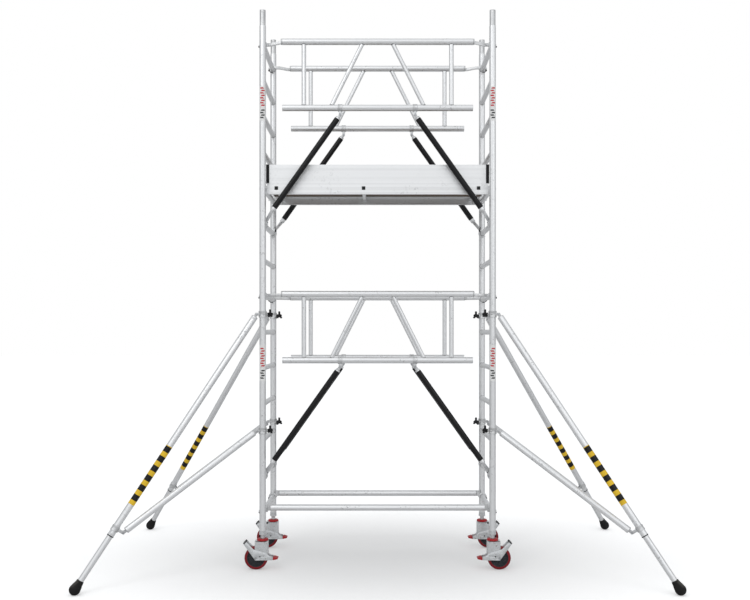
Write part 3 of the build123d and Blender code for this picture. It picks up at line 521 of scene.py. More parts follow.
# %% Zinc plate
zinc, zinc_tree, zinc_shader, zinc_place = new_finish("zinc_plate", 1.0)
crystals = zinc_tree.nodes.new("ShaderNodeTexVoronoi")
crystals.inputs["Scale"].default_value = 170.0
zinc_tree.links.new(zinc_place, crystals.inputs["Vector"])
cell_tone = zinc_tree.nodes.new("ShaderNodeSeparateXYZ")
zinc_tree.links.new(crystals.outputs["Color"], cell_tone.inputs[0])
zinc_grain = use_group(zinc_tree, fine_grain, zinc_place, Scale=350.0)
zinc_marks = use_group(zinc_tree, handling, zinc_place, Scale=70.0, Amount=0.7)["Marks"]
zinc_colour = tinted(zinc_tree, cell_tone.outputs[0], (0.66, 0.68, 0.69), (0.80, 0.81, 0.82))
zinc_colour = tinted(zinc_tree, zinc_marks, zinc_colour, (0.38, 0.36, 0.34))
zinc_rough = remapped(zinc_tree, zinc_grain["Blotches"], 0.0, 1.0, 0.28, 0.42)
finish_with(zinc_tree, zinc_shader, zinc_colour, zinc_rough, zinc_grain["Grain"], 0.00006)
print("made", zinc.name)

# %% [markdown]
# Plastics and rubber are told apart by their gloss and their skin. Moulded nylon has a fine spark
# texture; the sleeves on the braces are smoother and catch the light; rubber is matt and takes dust.

# %% Plastics and rubber
def moulded(name, colour, worn, rough, scale, depth, dusty=0.0, marks=0.4):
    """Plastic or rubber with a moulded skin, scuffs and a little dust."""
    material, tree, shader, place = new_finish(name)
    grain = use_group(tree, fine_grain, place, Scale=scale)
    scuffs = use_group(tree, handling, place, Scale=80.0, Amount=marks)["Marks"]
    tone = tinted(tree, grain["Blotches"], colour, tuple(part * 0.8 for part in colour))
    tone = tinted(tree, scuffs, tone, worn)
    if dusty:
        powder = use_group(tree, dust, place, Amount=dusty)["Dust"]
        tone = tinted(tree, powder, tone, (0.42, 0.39, 0.35))
    roughness = remapped(tree, grain["Blotches"], 0.0, 1.0, rough - 0.06, rough + 0.08)
    shader.inputs["Specular IOR Level"].default_value = 0.25
    finish_with(tree, shader, tone, roughness, grain["Grain"], depth)
    return material


black_nylon = moulded("black_nylon", (0.012, 0.012, 0.013), (0.07, 0.07, 0.07), 0.46, 900.0, 0.00015)
black_sleeve = moulded("black_sleeve", (0.009, 0.009, 0.010), (0.05, 0.05, 0.05), 0.33, 250.0, 0.00005)
black_rubber = moulded("black_rubber", (0.011, 0.011, 0.011), (0.05, 0.048, 0.045), 0.68, 500.0, 0.0003, 0.25)
red_nylon = moulded("red_nylon", (0.42, 0.018, 0.022), (0.55, 0.16, 0.14), 0.40, 800.0, 0.0001)
wheel_red = moulded("wheel_polyurethane", (0.235, 0.012, 0.018), (0.30, 0.07, 0.06), 0.44, 300.0, 0.0001, 0.2)
wheel_core_grey = moulded("wheel_core", (0.035, 0.037, 0.042), (0.12, 0.12, 0.12), 0.5, 600.0, 0.0002)
tape_yellow = moulded("tape_yellow", (0.93, 0.60, 0.035), (0.62, 0.38, 0.05), 0.36, 200.0, 0.00005, marks=0.6)
tape_black = moulded("tape_black", (0.008, 0.008, 0.008), (0.06, 0.06, 0.06), 0.36, 200.0, 0.00005, marks=0.6)
print("made", black_nylon.name, black_sleeve.name, black_rubber.name, wheel_red.name, tape_yellow.name)

# %% [markdown]
# The deck is birch plywood with a brown phenolic film, pressed with a wire mesh for grip. Two wave
# textures at right angles make the mesh; boots polish its tops, and pale dust lies on it in patches.

# %% Decking
deck_board, deck_tree, deck_shader, deck_place = new_finish("phenolic_decking")
waves = []
for direction in ("X", "Y"):
    wave = deck_tree.nodes.new("ShaderNodeTexWave")
    wave.bands_direction = direction
    wave.inputs["Scale"].default_value = 55.0
    deck_tree.links.new(deck_place, wave.inputs["Vector"])
    waves.append(wave.outputs["Fac"])
mesh_height = maths(deck_tree, "MAXIMUM", waves[0], waves[1])
deck_grain = use_group(deck_tree, fine_grain, deck_place, Scale=220.0)
deck_marks = use_group(deck_tree, handling, deck_place, Scale=24.0, Amount=0.7)["Marks"]
deck_dust = use_group(deck_tree, dust, deck_place, Amount=0.45)["Dust"]
deck_colour = tinted(deck_tree, deck_grain["Blotches"], (0.085, 0.052, 0.032), (0.125, 0.078, 0.048))
deck_colour = tinted(deck_tree, deck_marks, deck_colour, (0.26, 0.19, 0.13))
deck_colour = tinted(deck_tree, deck_dust, deck_colour, (0.34, 0.29, 0.23))
deck_rough = remapped(deck_tree, mesh_height, 0.0, 1.0, 0.72, 0.46)
finish_with(deck_tree, deck_shader, deck_colour, deck_rough, mesh_height, 0.0006)
print("made", deck_board.name)

# %% [markdown]
# The stickers on the posts carry no words: a white film with short red strokes and black ones. They
# come from the flat map's height along the sticker, so they wrap round the post with the film.

# %% Stickers
sticker, label_tree, label_shader, label_place = new_finish("plain_sticker", by_map=True)
label_parts = label_tree.nodes.new("ShaderNodeSeparateXYZ")
label_tree.links.new(label_place, label_parts.inputs[0])
across, along = label_parts.outputs[0], label_parts.outputs[1]


def band(value, low, high):
    """Mask that is 1 between two values."""
    over = maths(label_tree, "GREATER_THAN", value, low)
    return maths(label_tree, "MULTIPLY", over, maths(label_tree, "LESS_THAN", value, high))


stroke_wave = maths(label_tree, "SINE", maths(label_tree, "MULTIPLY", along, 330.0))
strokes = maths(label_tree, "GREATER_THAN", stroke_wave, -0.3)
lean_wave = maths(label_tree, "SINE", maths(label_tree, "MULTIPLY", along, 165.0))
lean = maths(label_tree, "MULTIPLY", lean_wave, 0.007)
shifted = maths(label_tree, "ADD", across, lean)
inked = maths(label_tree, "MULTIPLY", strokes, band(shifted, 0.014, 0.042))
film_grain = use_group(label_tree, fine_grain, label_place, Scale=300.0)
film = tinted(label_tree, film_grain["Blotches"], (0.86, 0.86, 0.85), (0.80, 0.80, 0.79))
red_part = maths(label_tree, "MULTIPLY", inked, band(along, 0.105, 0.262))
black_part = maths(label_tree, "MULTIPLY", inked, band(along, 0.012, 0.092))
film = tinted(label_tree, red_part, film, (0.55, 0.02, 0.03))
film = tinted(label_tree, black_part, film, (0.02, 0.02, 0.02))
film_rough = remapped(label_tree, film_grain["Blotches"], 0.0, 1.0, 0.3, 0.42)
finish_with(label_tree, label_shader, film, film_rough, film_grain["Grain"], 0.00003)
print("made", sticker.name)

# %% [markdown]
# ## Putting pieces together
# A piece is a list of (shape, material) pairs that becomes one mesh, with one slot per material.
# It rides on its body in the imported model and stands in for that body's plain nodes. Smooth faces
# with sharp edges kept at 35 degrees give round tubes and crisp ends.

# %% Making a piece
def make_piece(name, body, parts, nodes=()):
    """One mesh object from shapes and materials, riding on a body."""
    points, faces, maps, paints, finishes = [], [], [], [], []
    for (shape_points, shape_faces, shape_maps), material in parts:
        if material not in finishes:
            finishes.append(material)
        start = len(points)
        points += shape_points
        faces += [[index + start for index in face] for face in shape_faces]
        maps += shape_maps
        paints += [finishes.index(material)] * len(shape_faces)
    mesh = bpy.data.meshes.new(name)
    mesh.from_pydata(points, [], faces)
    layer = mesh.uv_layers.new(name="metres")
    layer.uv.foreach_set("vector", [number for face in maps for spot in face for number in spot])
    mesh.polygons.foreach_set("material_index", paints)
    for material in finishes:
        mesh.materials.append(material)
    mesh.shade_smooth()
    mesh.set_sharp_from_angle(angle=math.radians(35))
    mesh.validate()
    piece = bpy.data.objects.new(name, mesh)
    scene.collection.objects.link(piece)
    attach(piece, body)
    if nodes:
        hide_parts(*nodes)
    print(name, "on", body, "-", len(faces), "faces")
    return piece


def mirrored(parts, side_x, side_y):
    """Parts made for the +X +Y corner, mirrored to the corner with these signs."""
    scale = Matrix.Diagonal((side_x, side_y, 1, 1))
    flip = side_x * side_y < 0
    made = []
    for (points, faces, maps), material in parts:
        if flip:
            faces, maps = [face[::-1] for face in faces], [spots[::-1] for spots in maps]
        made.append((([scale @ point for point in points], faces, maps), material))
    return made


def four_ways(parts):
    """The parts at all four corners."""
    return [part for signs in corners.values() for part in mirrored(parts, *signs)]


# %% [markdown]
# ## Ladder frames
# Each side of the tower is a ladder: two posts and seven ribbed rungs, welded all round. The ribs
# are real geometry here, because they catch the light as fine lines along each rung.

# %% Ladder frames
def ladder(base_z, rungs):
    """Posts, rungs and welds of one frame, for the +X side."""
    parts = []
    for side_y in (1, -1):
        low, high = (post_x, side_y * post_y, base_z), (post_x, side_y * post_y, base_z + frame_height)
        parts.append((tube(low, high, post_r, post_bore, 48, 0.0003, 0.0016), tube_metal))
    reach = post_y - post_r + 0.004
    for z in rungs:
        rung = tube((post_x, -reach, z), (post_x, reach, z), rung_r, rung_bore, 48, 0.0008)
        parts.append((rung, tube_metal))
        for side_y in (1, -1):
            meeting = (post_x, side_y * post_y, z)
            parts.append((weld(meeting, (0, -side_y, 0), rung_r, (0, 0, 1), post_r), weld_metal))
    return parts


for level, base_z, rungs in (("lower", frame_bottom, lower_rungs), ("upper", joint_z, upper_rungs)):
    ladder_parts = ladder(base_z, rungs)
    for side, side_x in (("right", 1), ("left", -1)):
        node = f"{level}_{side}_frame"
        make_piece(f"{node}_look", "tower", mirrored(ladder_parts, side_x, 1), [node])

# %% [markdown]
# The stickers are thin curved films on the front posts. Each is a part turn of a tube, with its own
# flat map that starts at zero at its lower edge, so that the printed rows sit in the right place.

# %% Post stickers
def film_on_post(low, high, turn=64, steps=16):
    """Curved film on the +X -Y post, facing -Y, from one height to another."""
    inner, outer = post_r + 0.00005, post_r + 0.0005
    rows = [(low, outer), (high, outer), (high, inner), (low, inner)]
    points, faces, maps = [], [], []
    for z, radius in rows:
        for step in range(steps + 1):
            angle = math.radians(-90 - turn + 2 * turn * step / steps)
            spot = Vector((radius * math.cos(angle), radius * math.sin(angle), z))
            points.append(spot + Vector((post_x, -post_y, 0)))
    width = math.radians(2 * turn) * outer / steps
    for row in range(4):
        start, following = row * (steps + 1), (row + 1) % 4 * (steps + 1)
        heights = (rows[row][0] - low, rows[(row + 1) % 4][0] - low)
        for step in range(steps):
            left, right = step * width, (step + 1) * width
            faces.append([start + step, start + step + 1, following + step + 1, following + step])
            maps.append([(left, heights[0]), (right, heights[0]), (right, heights[1]), (left, heights[1])])
    for step, order in ((0, (0, 1, 2, 3)), (steps, (3, 2, 1, 0))):
        faces.append([row * (steps + 1) + step for row in order])
        maps.append([(0.0, 0.0)] * 4)
    return points, faces, maps


sticker_z = [(joint_z - 0.799, joint_z - 0.516), (joint_z + 1.218, joint_z + 1.485)]
films = [(film_on_post(low, high), sticker) for low, high in sticker_z]
make_piece("post_stickers", "tower", mirrored(films, 1, 1) + mirrored(films, -1, 1))

# %% [markdown]
# ## Claws and catches
# Rails, braces and the platform hang on the rungs by cast claws: a half ring that drops over the
# rung, with a black catch that closes it. All claws share one outline.

# %% Claw and catch
claw_r, claw_lip, claw_width, claw_y = 0.035, 0.004, 0.020, 0.300
claw_outline = (
    [(claw_lip, claw_r)]
    + arc((0, 0), claw_r, 90, 270, 18)
    + [(claw_lip, -claw_r), (claw_lip, -seat_r)]
    + arc((0, 0), seat_r, 270, 90, 14)
    + [(claw_lip, seat_r)]
)


def basis(origin, x_axis, z_axis):
    """Matrix from an origin, an X direction and a Z direction."""
    return frame_at(origin, z_axis, x_axis)


def catch(place, points):
    """Black catch: a round head and a finger along the given points, 5 mm thick."""
    centre = place @ Matrix.Translation((0, 0, 0.0025))
    head = place @ Matrix.Translation((*points[0], 0))
    button = [(0, 0), (0, 0.0075), (0.0004, 0.008), (0.0045, 0.008), (0.005, 0.0072), (0.005, 0.004),
              (0.0044, 0.0034), (0.0044, 0)]
    return [
        (plate(strip(points, 0.006), 0.005, centre, 0.0008), black_nylon),
        (placed(turned(button, 20, closed=False), head), black_nylon),
    ]


print("claw outline has", len(claw_outline), "points")

# %% [markdown]
# ## Guardrails
# A guardrail is a welded panel: a top rail, a knee rail, two uprights and two sloping struts. The
# top rail ends in cast hooks that step inwards to the rung, and the knee rail has two collar
# brackets for the diagonal braces. Only one corner is drawn; mirrors give the other.

# %% Collar brackets
pin_r, ear_r, ear_thick, tongue_thick = 0.005, 0.011, 0.004, 0.012


def collar_bracket(place, tube_r, wall, length, drop, finish):
    """Collar round a tube along the place's X, with two ears and a headed pin below it (-Y)."""
    ear_in = tongue_thick / 2 + 0.0005
    ear_top = math.sqrt((tube_r + wall) ** 2 - (ear_in + ear_thick) ** 2) - 0.001
    edge, waist = 0.0012, tube_r + wall - 0.0012
    ring = [(0, waist), (edge, tube_r + wall), (length * 0.22, tube_r + wall), (length * 0.28, waist),
            (length * 0.72, waist), (length * 0.78, tube_r + wall), (length - edge, tube_r + wall),
            (length, waist), (length, tube_r + 0.00005), (0, tube_r + 0.00005)]
    along = place @ Matrix.Translation((-length / 2, 0, 0)) @ Matrix.Rotation(math.radians(90), 4, "Y")
    outline = [(-ear_r, -ear_top)] + arc((0, -drop), ear_r, 180, 360, 14) + [(ear_r, -ear_top)]
    parts = [(placed(turned(ring, 32), along), finish)]
    for z in (ear_in + ear_thick / 2, -ear_in - ear_thick / 2):
        hole = [circle((0, -drop), pin_r + 0.0001, 16)]
        parts.append((plate(outline, ear_thick, place @ Matrix.Translation((0, 0, z)), 0.0008, hole), finish))
    out = tongue_thick / 2 + 0.0005 + ear_thick
    pin = [(-out - 0.004, 0), (-out - 0.004, 0.007), (-out - 0.003, 0.008), (-out, 0.008), (-out, pin_r),
           (out, pin_r), (out, 0.008), (out + 0.0025, 0.008), (out + 0.004, 0.0068), (out + 0.004, 0)]
    head = place @ Matrix.Translation((0, -drop, 0))
    parts.append((placed(turned(pin, 18, closed=False), head), pin_metal))
    return parts


# %% Guardrail panels
rail_r, rail_bore, rail_half, guard_height = 0.0245, 0.0229, 0.740, 0.514
upright_x, upright_r, strut_top_x, strut_bottom_x, strut_r = 0.573, 0.0175, 0.110, 0.367, 0.016
brace_x, brace_drop = 0.291, 0.053
hook_bar, hook_bar_height = 0.011, 0.025


def guardrail_corner(rail_z, knee_z, rung_z):
    """Everything on a guardrail that comes once per corner, for +X +Y."""
    parts = []
    up = Vector((0, 0, 1))
    strut_low = Vector((strut_bottom_x, post_y, knee_z))
    strut_high = Vector((strut_top_x, post_y, rail_z))
    slope = (strut_high - strut_low).normalized()
    sink = rail_r - 0.002
    upright_low, upright_high = (Vector((upright_x, post_y, z)) for z in (knee_z, rail_z))
    for low, high, way, radius, cut in (
        (upright_low, upright_high, up, upright_r, sink),
        (strut_low, strut_high, slope, strut_r, sink / slope.z),
    ):
        parts.append((tube(low + way * cut, high - way * cut, radius, radius - 0.0016, 24), tube_metal))
        parts.append((weld(low, way, radius, (1, 0, 0), rail_r, 0.003, 28), weld_metal))
        parts.append((weld(high, -way, radius, (1, 0, 0), rail_r, 0.003, 28), weld_metal))
    end = Vector((rail_half, post_y, rail_z))
    parts.append((tube(end, end + Vector((hook_bar, 0, 0)), rail_r - 0.001, 0, 24, 0, 0.002), cast_metal))
    path = [(rail_half + 0.004, post_y), (rail_half + 0.022, post_y), (post_x - claw_r - 0.022, claw_y),
            (post_x - seat_r - hook_bar / 2, claw_y)]
    bar = Matrix.Translation((0, 0, (rail_z + rung_z) / 2))
    parts.append((plate(strip(path, hook_bar), hook_bar_height, bar, 0.002), cast_metal))
    claw = basis((post_x, claw_y, rung_z), (0, 0, -1), (0, 1, 0))
    parts.append((plate(claw_outline, claw_width, claw, 0.0015), cast_metal))
    face = basis((post_x, claw_y + claw_width / 2, rung_z), (0, 0, -1), (0, 1, 0))
    under = rung_r + 0.006
    parts += catch(face, [(0.011, -0.031), (under, -rung_r), (under, 0)])
    knee_end = Vector((rail_half, post_y, knee_z))
    cap_start, cap_end = (knee_end - Vector((back, 0, 0)) for back in (0.004, 0.0002))
    cap = tube(cap_start, cap_end, rail_bore, 0, 24, 0, 0.0005)
    parts.append((cap, black_nylon))
    bracket = basis((brace_x, post_y, knee_z), (1, 0, 0), (0, -1, 0))
    parts += collar_bracket(bracket, rail_r, 0.005, 0.035, brace_drop, cast_metal)
    return parts


for level, rung_z in (("lower", lower_rungs[-1]), ("upper", upper_rungs[-1])):
    rail_z = rung_z + 0.016
    knee_z = rail_z - guard_height
    once = guardrail_corner(rail_z, knee_z, rung_z)
    panel = mirrored(once, 1, 1) + mirrored(once, -1, 1)
    for z in (rail_z, knee_z):
        rail = tube((-rail_half, post_y, z), (rail_half, post_y, z), rail_r, rail_bore, 48, 0.0004)
        panel.append((rail, tube_metal))
    for side, side_y in (("back", 1), ("front", -1)):
        node = f"{side}_{level}_guardrail"
        make_piece(f"{node}_look", "tower", mirrored(panel, 1, side_y), [node])

# %% [markdown]
# ## Base braces
# Two straight rails tie the feet of the lower frames together. They end in a block and a claw.

# %% Base braces
base_half, base_y = 0.835, 0.310
base_z = lower_rungs[0] + 0.030
arm_length = post_x - seat_r - 0.008 - base_half
arm = plate(softened(rectangle(0, arm_length, -rail_bore, rail_bore), 0.003), claw_width, Matrix(), 0.0015)
arm_place = basis((base_half, base_y, base_z), (1, 0, 0), (0, -1, 0))
claw_place = basis((post_x, base_y, lower_rungs[0]), (0, 0, -1), (0, 1, 0))
hook = [(placed(arm, arm_place), cast_metal), (plate(claw_outline, claw_width, claw_place, 0.0015), cast_metal)]
inner_face = basis((post_x, base_y - claw_width / 2 - 0.005, lower_rungs[0]), (0, 0, -1), (0, 1, 0))
under = rung_r + 0.006
hook += catch(inner_face, [(0.011, -0.031), (under, -rung_r), (under, 0)])
base_parts = four_ways(hook)
for side_y in (1, -1):
    ends = [Vector((side_x * base_half, side_y * base_y, base_z)) for side_x in (-1, 1)]
    base_parts.append((tube(*ends, rail_r, rail_bore, 48, 0.0004), tube_metal))
make_piece("base_braces_look", "tower", base_parts, ["base_braces"])

# %% [markdown]
# ## Diagonal braces
# Each brace hangs from a collar bracket by a flat tongue, and its long tube has a black sleeve. At
# the far end a bent bar carries the claw inwards to the rung. The whole brace is drawn flat, with
# its own X along the tube, and then stood in its place with one matrix.

# %% Tongue on a pin
def tongue(place, tube_outer, finish):
    """Flat tongue with a pin hole at the place's origin, and the collar that closes a tube."""
    hole = [circle((0, 0), pin_r + 0.00005, 16)]
    outline = arc((0, 0), ear_r, 90, 270, 14) + [(0.027, -ear_r), (0.027, ear_r)]
    turn = Matrix.Translation((0.026, 0, 0)) @ Matrix.Rotation(math.radians(90), 4, "Y")
    end = turned([(0, 0), (0, tube_outer - 0.001), (0.001, tube_outer), (0.004, tube_outer), (0.004, 0)], 24,
                 closed=False)
    return [(plate(outline, tongue_thick, place, 0.0012, hole), finish), (placed(end, place @ turn), finish)]


# %% Brace pieces
brace_r, sleeve_r, tube_end, bend_end = 0.019, 0.022, 0.905, 0.995
sleeve_start, sleeve_end = 0.039, 0.885


def brace(pivot_z, rung_z):
    """One brace for the +X +Y corner."""
    way = Vector((post_x - brace_x, 0, rung_z - pivot_z))
    length, inward = way.length, post_y - claw_y
    place = basis((brace_x, post_y, pivot_z), way, (0, -1, 0))

    def spot(x, y=0.0, z=0.0):
        return place @ Vector((x, y, z))

    parts = tongue(place, brace_r, cast_metal)
    parts.append((tube(spot(0.030), spot(tube_end), brace_r, brace_r - 0.002, 32, 0.0003), tube_metal))
    sleeve = tube(spot(sleeve_start), spot(sleeve_end), sleeve_r, brace_r + 0.0001, 32, 0, 0.0015)
    parts.append((sleeve, black_sleeve))
    parts.append((tube(spot(tube_end), spot(tube_end + hook_bar), brace_r, 0, 24, 0, 0.0015), cast_metal))
    path = [(tube_end + 0.004, 0), (tube_end + hook_bar, 0), (bend_end, -inward),
            (length - seat_r - hook_bar / 2, -inward)]
    flat = place @ Matrix.Rotation(math.radians(-90), 4, "X")
    parts.append((plate(strip(path, hook_bar), hook_bar_height, flat, 0.002), cast_metal))
    claw = place @ Matrix.Translation((length, 0, inward)) @ Matrix.Rotation(math.radians(90), 4, "Z")
    parts.append((plate(claw_outline, claw_width, claw, 0.0015), cast_metal))
    face = place @ Matrix.Translation((0, 0, inward + claw_width / 2))
    back = length - 0.031
    parts += catch(face, [(back, -0.011), (back - rung_r, 0.011), (back - 1.5 * rung_r, 0.011)])
    return parts


for level, rungs in (("lower", lower_rungs), ("upper", upper_rungs)):
    brace_parts = brace(rungs[-1] + 0.016 - guard_height - brace_drop, rungs[1])
    for corner, signs in corners.items():
        name = f"{level}_brace_{corner}"
        make_piece(f"{name}_look", name, mirrored(brace_parts, *signs), [name])

# %% [markdown]
# ## Platform
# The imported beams, deck, toe boards and plugs already have the right section, down to the lips and
# grooves, so they stay and take their finishes. Rivets, a sheet edge and the hatch's pull are added.

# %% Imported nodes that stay
stay = {
    "platform_frame": beam_metal, "deck_panels": deck_board, "toe_boards": board_metal,
    "platform_plugs": black_nylon, "frame_spigots": cast_metal,
}
for node, material in stay.items():
    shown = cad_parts[node]
    for slot in shown.material_slots:
        slot.material = material
print("kept", ", ".join(stay))

# %% Rivets along the deck
deck_low, deck_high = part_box("deck_panels")
door_low, door_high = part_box("trapdoor")
rivet = turned([(0, 0.0065), (0.0008, 0.0062), (0.0018, 0.004), (0.0021, 0)], 12, closed=False)
rivets = []
for side_y in (1, -1):
    for step in range(12):
        x = deck_low.x + 0.05 + step * (deck_high.x - deck_low.x - 0.1) / 11
        if door_low.x - 0.02 < x < door_high.x + 0.02 and side_y < 0:
            continue
        y = side_y * (deck_high.y - 0.024 + 0.012 * (side_y > 0 and door_low.x < x < door_high.x))
        rivets.append((placed(rivet, Matrix.Translation((x, y, deck_high.z))), pin_metal))
for y in (-0.2, -0.07, 0.07, 0.2):
    for x in (door_high.x + 0.018, deck_low.x + 0.02, deck_high.x - 0.02):
        rivets.append((placed(rivet, Matrix.Translation((x, y, deck_high.z))), pin_metal))
make_piece("deck_rivets", "tower", rivets)

# %% [markdown]
# ## Trapdoor
# The hatch is a piece of the same decking on two hinges. A thin metal edge guards its rim, and a
# flat pull lies near the free side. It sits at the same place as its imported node, so it swings with it.

# %% Trapdoor
board_thick, hinge_y = 0.012, 0.269
board_low, board_back = 2.9873, 0.263
hinge_z = 2.999 + 0.002 + 0.0003 + 0.005 - 0.0005
door_x, door_y = (door_low.x + door_high.x) / 2, (door_low.y + board_back) / 2
door_middle = Vector((door_x, door_y, board_low + board_thick / 2))
half_x, half_y = (door_high.x - door_low.x) / 2, (board_back - door_low.y) / 2
sheet_x, sheet_y = half_x - 0.0015, half_y - 0.0015
sheet_outline = softened(rectangle(-sheet_x, sheet_x, -sheet_y, sheet_y), 0.004)
rim_outline = softened(rectangle(-half_x, half_x, -half_y, half_y), 0.005)
rim_hole = softened(rectangle(-half_x + 0.012, half_x - 0.012, -half_y + 0.012, half_y - 0.012), 0.003)
door_parts = [(plate(sheet_outline, board_thick, Matrix.Translation(door_middle), 0.0008), deck_board)]
rim_at = Matrix.Translation(door_middle + Vector((0, 0, board_thick / 2 + 0.0004)))
door_parts.append((plate(rim_outline, 0.0014, rim_at, 0.0003, [rim_hole]), beam_metal))
for x in (door_low.x + 0.140, door_high.x - 0.140):
    half = 0.0195 / 2
    barrel = tube((x - half, hinge_y, hinge_z), (x + half, hinge_y, hinge_z), 0.005, 0.00255, 20, 0, 0.0004)
    door_parts.append((barrel, pin_metal))
    leaf_at = Matrix.Translation((x, hinge_y - 0.0125, 2.9993 + 0.001))
    leaf = rectangle(-half, half, -0.0125, 0.0095)
    door_parts.append((plate(leaf, 0.002, leaf_at, 0.0004, [circle((0, -0.005), 0.002, 10)]), pin_metal))
pull_at = Vector((door_middle.x, door_low.y + 0.055, door_middle.z + board_thick / 2 + 0.001))
pull = softened(rectangle(-0.06, 0.06, -0.019, 0.019), 0.016, 5)
grip = softened(rectangle(-0.045, 0.045, -0.009, 0.009), 0.008, 5)
door_parts.append((plate(pull, 0.002, Matrix.Translation(pull_at), 0.0006, [grip]), black_nylon))
for side_x in (1, -1):
    at = Vector((pull_at.x + side_x * 0.052, pull_at.y, pull_at.z + 0.0008))
    door_parts.append((placed(turned([(0, 0.0035), (0.0008, 0.003), (0.001, 0)], 10, closed=False),
                              Matrix.Translation(at)), pin_metal))
make_piece("trapdoor_look", "trapdoor", door_parts, ["trapdoor"])

# %% [markdown]
# ## Adjustable legs
# A screwed spindle runs up into each post, and a ribbed nut under the post sets its height. The
# thread is a true helix: every ring of points is shifted along by its angle.

# %% Screw thread
def thread(low, high, crest, root, pitch=0.006, steps=24):
    """Threaded rod along Z round the post's axis."""
    turns = int((high - low) / pitch) - 1
    points, faces, maps = [], [], []
    heights = (0.0, 0.35, 0.5, 0.85)
    radii = (crest, crest, root, root)
    for turn in range(turns):
        for share, radius in zip(heights, radii):
            for step in range(steps):
                angle = 2 * math.pi * step / steps
                z = low + pitch * (turn + share + step / steps)
                points.append(Vector((radius * math.cos(angle), radius * math.sin(angle), z)))
    rings = turns * 4
    for ring in range(rings - 1):
        for step in range(steps):
            if step < steps - 1:
                face = [ring * steps + step, ring * steps + step + 1, (ring + 1) * steps + step + 1,
                        (ring + 1) * steps + step]
            elif ring + 5 < rings:
                face = [ring * steps + step, (ring + 4) * steps, (ring + 5) * steps,
                        (ring + 1) * steps + step]
            else:
                continue
            faces.append(face)
            maps.append([(0.0, 0.0), (0.01, 0.0), (0.01, 0.01), (0.0, 0.01)])
    return [point + post_axis for point in points], faces, maps


spindle_r, spindle_low, spindle_high = 0.017, 0.240, 0.560
screw = thread(spindle_low - 0.002, spindle_high - 0.002, spindle_r, spindle_r - 0.0028)
print("screw has", len(screw[1]), "faces")

# %% Spindle, swivel cap and leg nut
def on_post(profile, steps=32, groove=0.0, closed=True):
    """Turned shape round the post's axis."""
    return placed(turned(profile, steps, groove, closed), Matrix.Translation(post_axis))


fork_top, cap_r = 0.224, 0.044
cap_profile = [(fork_top + 0.0003, 0.010), (fork_top + 0.0003, cap_r - 0.001), (fork_top + 0.0013, cap_r),
               (fork_top + 0.0090, cap_r), (fork_top + 0.0125, cap_r - 0.0014),
               (fork_top + 0.0150, cap_r - 0.0048), (fork_top + 0.0160, cap_r - 0.0095),
               (fork_top + 0.0160, 0.022), (fork_top + 0.0140, 0.0195), (fork_top + 0.0140, 0.010)]
spindle_core = [(spindle_low - 0.002, 0), (spindle_low - 0.002, spindle_r - 0.0022),
                (spindle_high, spindle_r - 0.0029), (spindle_high, 0)]
king_profile = [(0.208, 0), (0.208, 0.0095), (0.242, 0.0095), (0.242, 0)]
king_head_profile = [(0.2077, 0), (0.2077, 0.0150), (0.2087, 0.016), (0.2147, 0.016), (0.2157, 0.015),
                     (0.2157, 0)]
leg_parts = [
    (screw, zinc),
    (on_post(spindle_core, 24, closed=False), zinc),
    (on_post(king_profile, 24, closed=False), pin_metal),
    (on_post(king_head_profile, 6, closed=False), pin_metal),
    (on_post(cap_profile), red_nylon),
]
nut_low = frame_bottom - 0.032
nut_profile = [(nut_low, 0.0255), (nut_low + 0.002, 0.028), (nut_low + 0.011, 0.028), (nut_low + 0.012, 0.0265),
               (nut_low + 0.030, 0.0265), (nut_low + 0.032, 0.0245), (nut_low + 0.032, 0.01705),
               (nut_low, 0.01705)]
nut_parts = [(on_post(nut_profile, 40, 0.0011), zinc)]
for corner, signs in corners.items():
    make_piece(f"leg_spindle_{corner}_look", f"leg_{corner}", mirrored(leg_parts, *signs),
               [f"leg_spindle_{corner}"])
make_piece("leg_nuts_look", "tower", four_ways(nut_parts), ["leg_nuts"])

# %% [markdown]
# ## Casters
# Each caster is a pressed zinc fork, a red polyurethane wheel on a dark core, and a brake pedal that
# rocks on a bolt. Plates with softened corners suit pressed steel; the wheel is turned.

# %% Fork
wheel_r, core_r, trail, hub_r, axle_r = 0.090, 0.070, 0.050, 0.020, 0.008
axle = Vector((post_x + trail, post_y, wheel_r))
leg_in, leg_out = 0.0255, 0.0305
pivot = Vector((post_x + 0.018, post_y, 0.1035))
fork_in, fork_out = 0.043, 0.058


def upright_plate(outline, y, thickness, edge, holes=()):
    """Plate in the XZ plane with its middle at y."""
    place = basis((0, y, 0), (1, 0, 0), (0, -1, 0))
    return plate(outline, thickness, place, edge, holes)


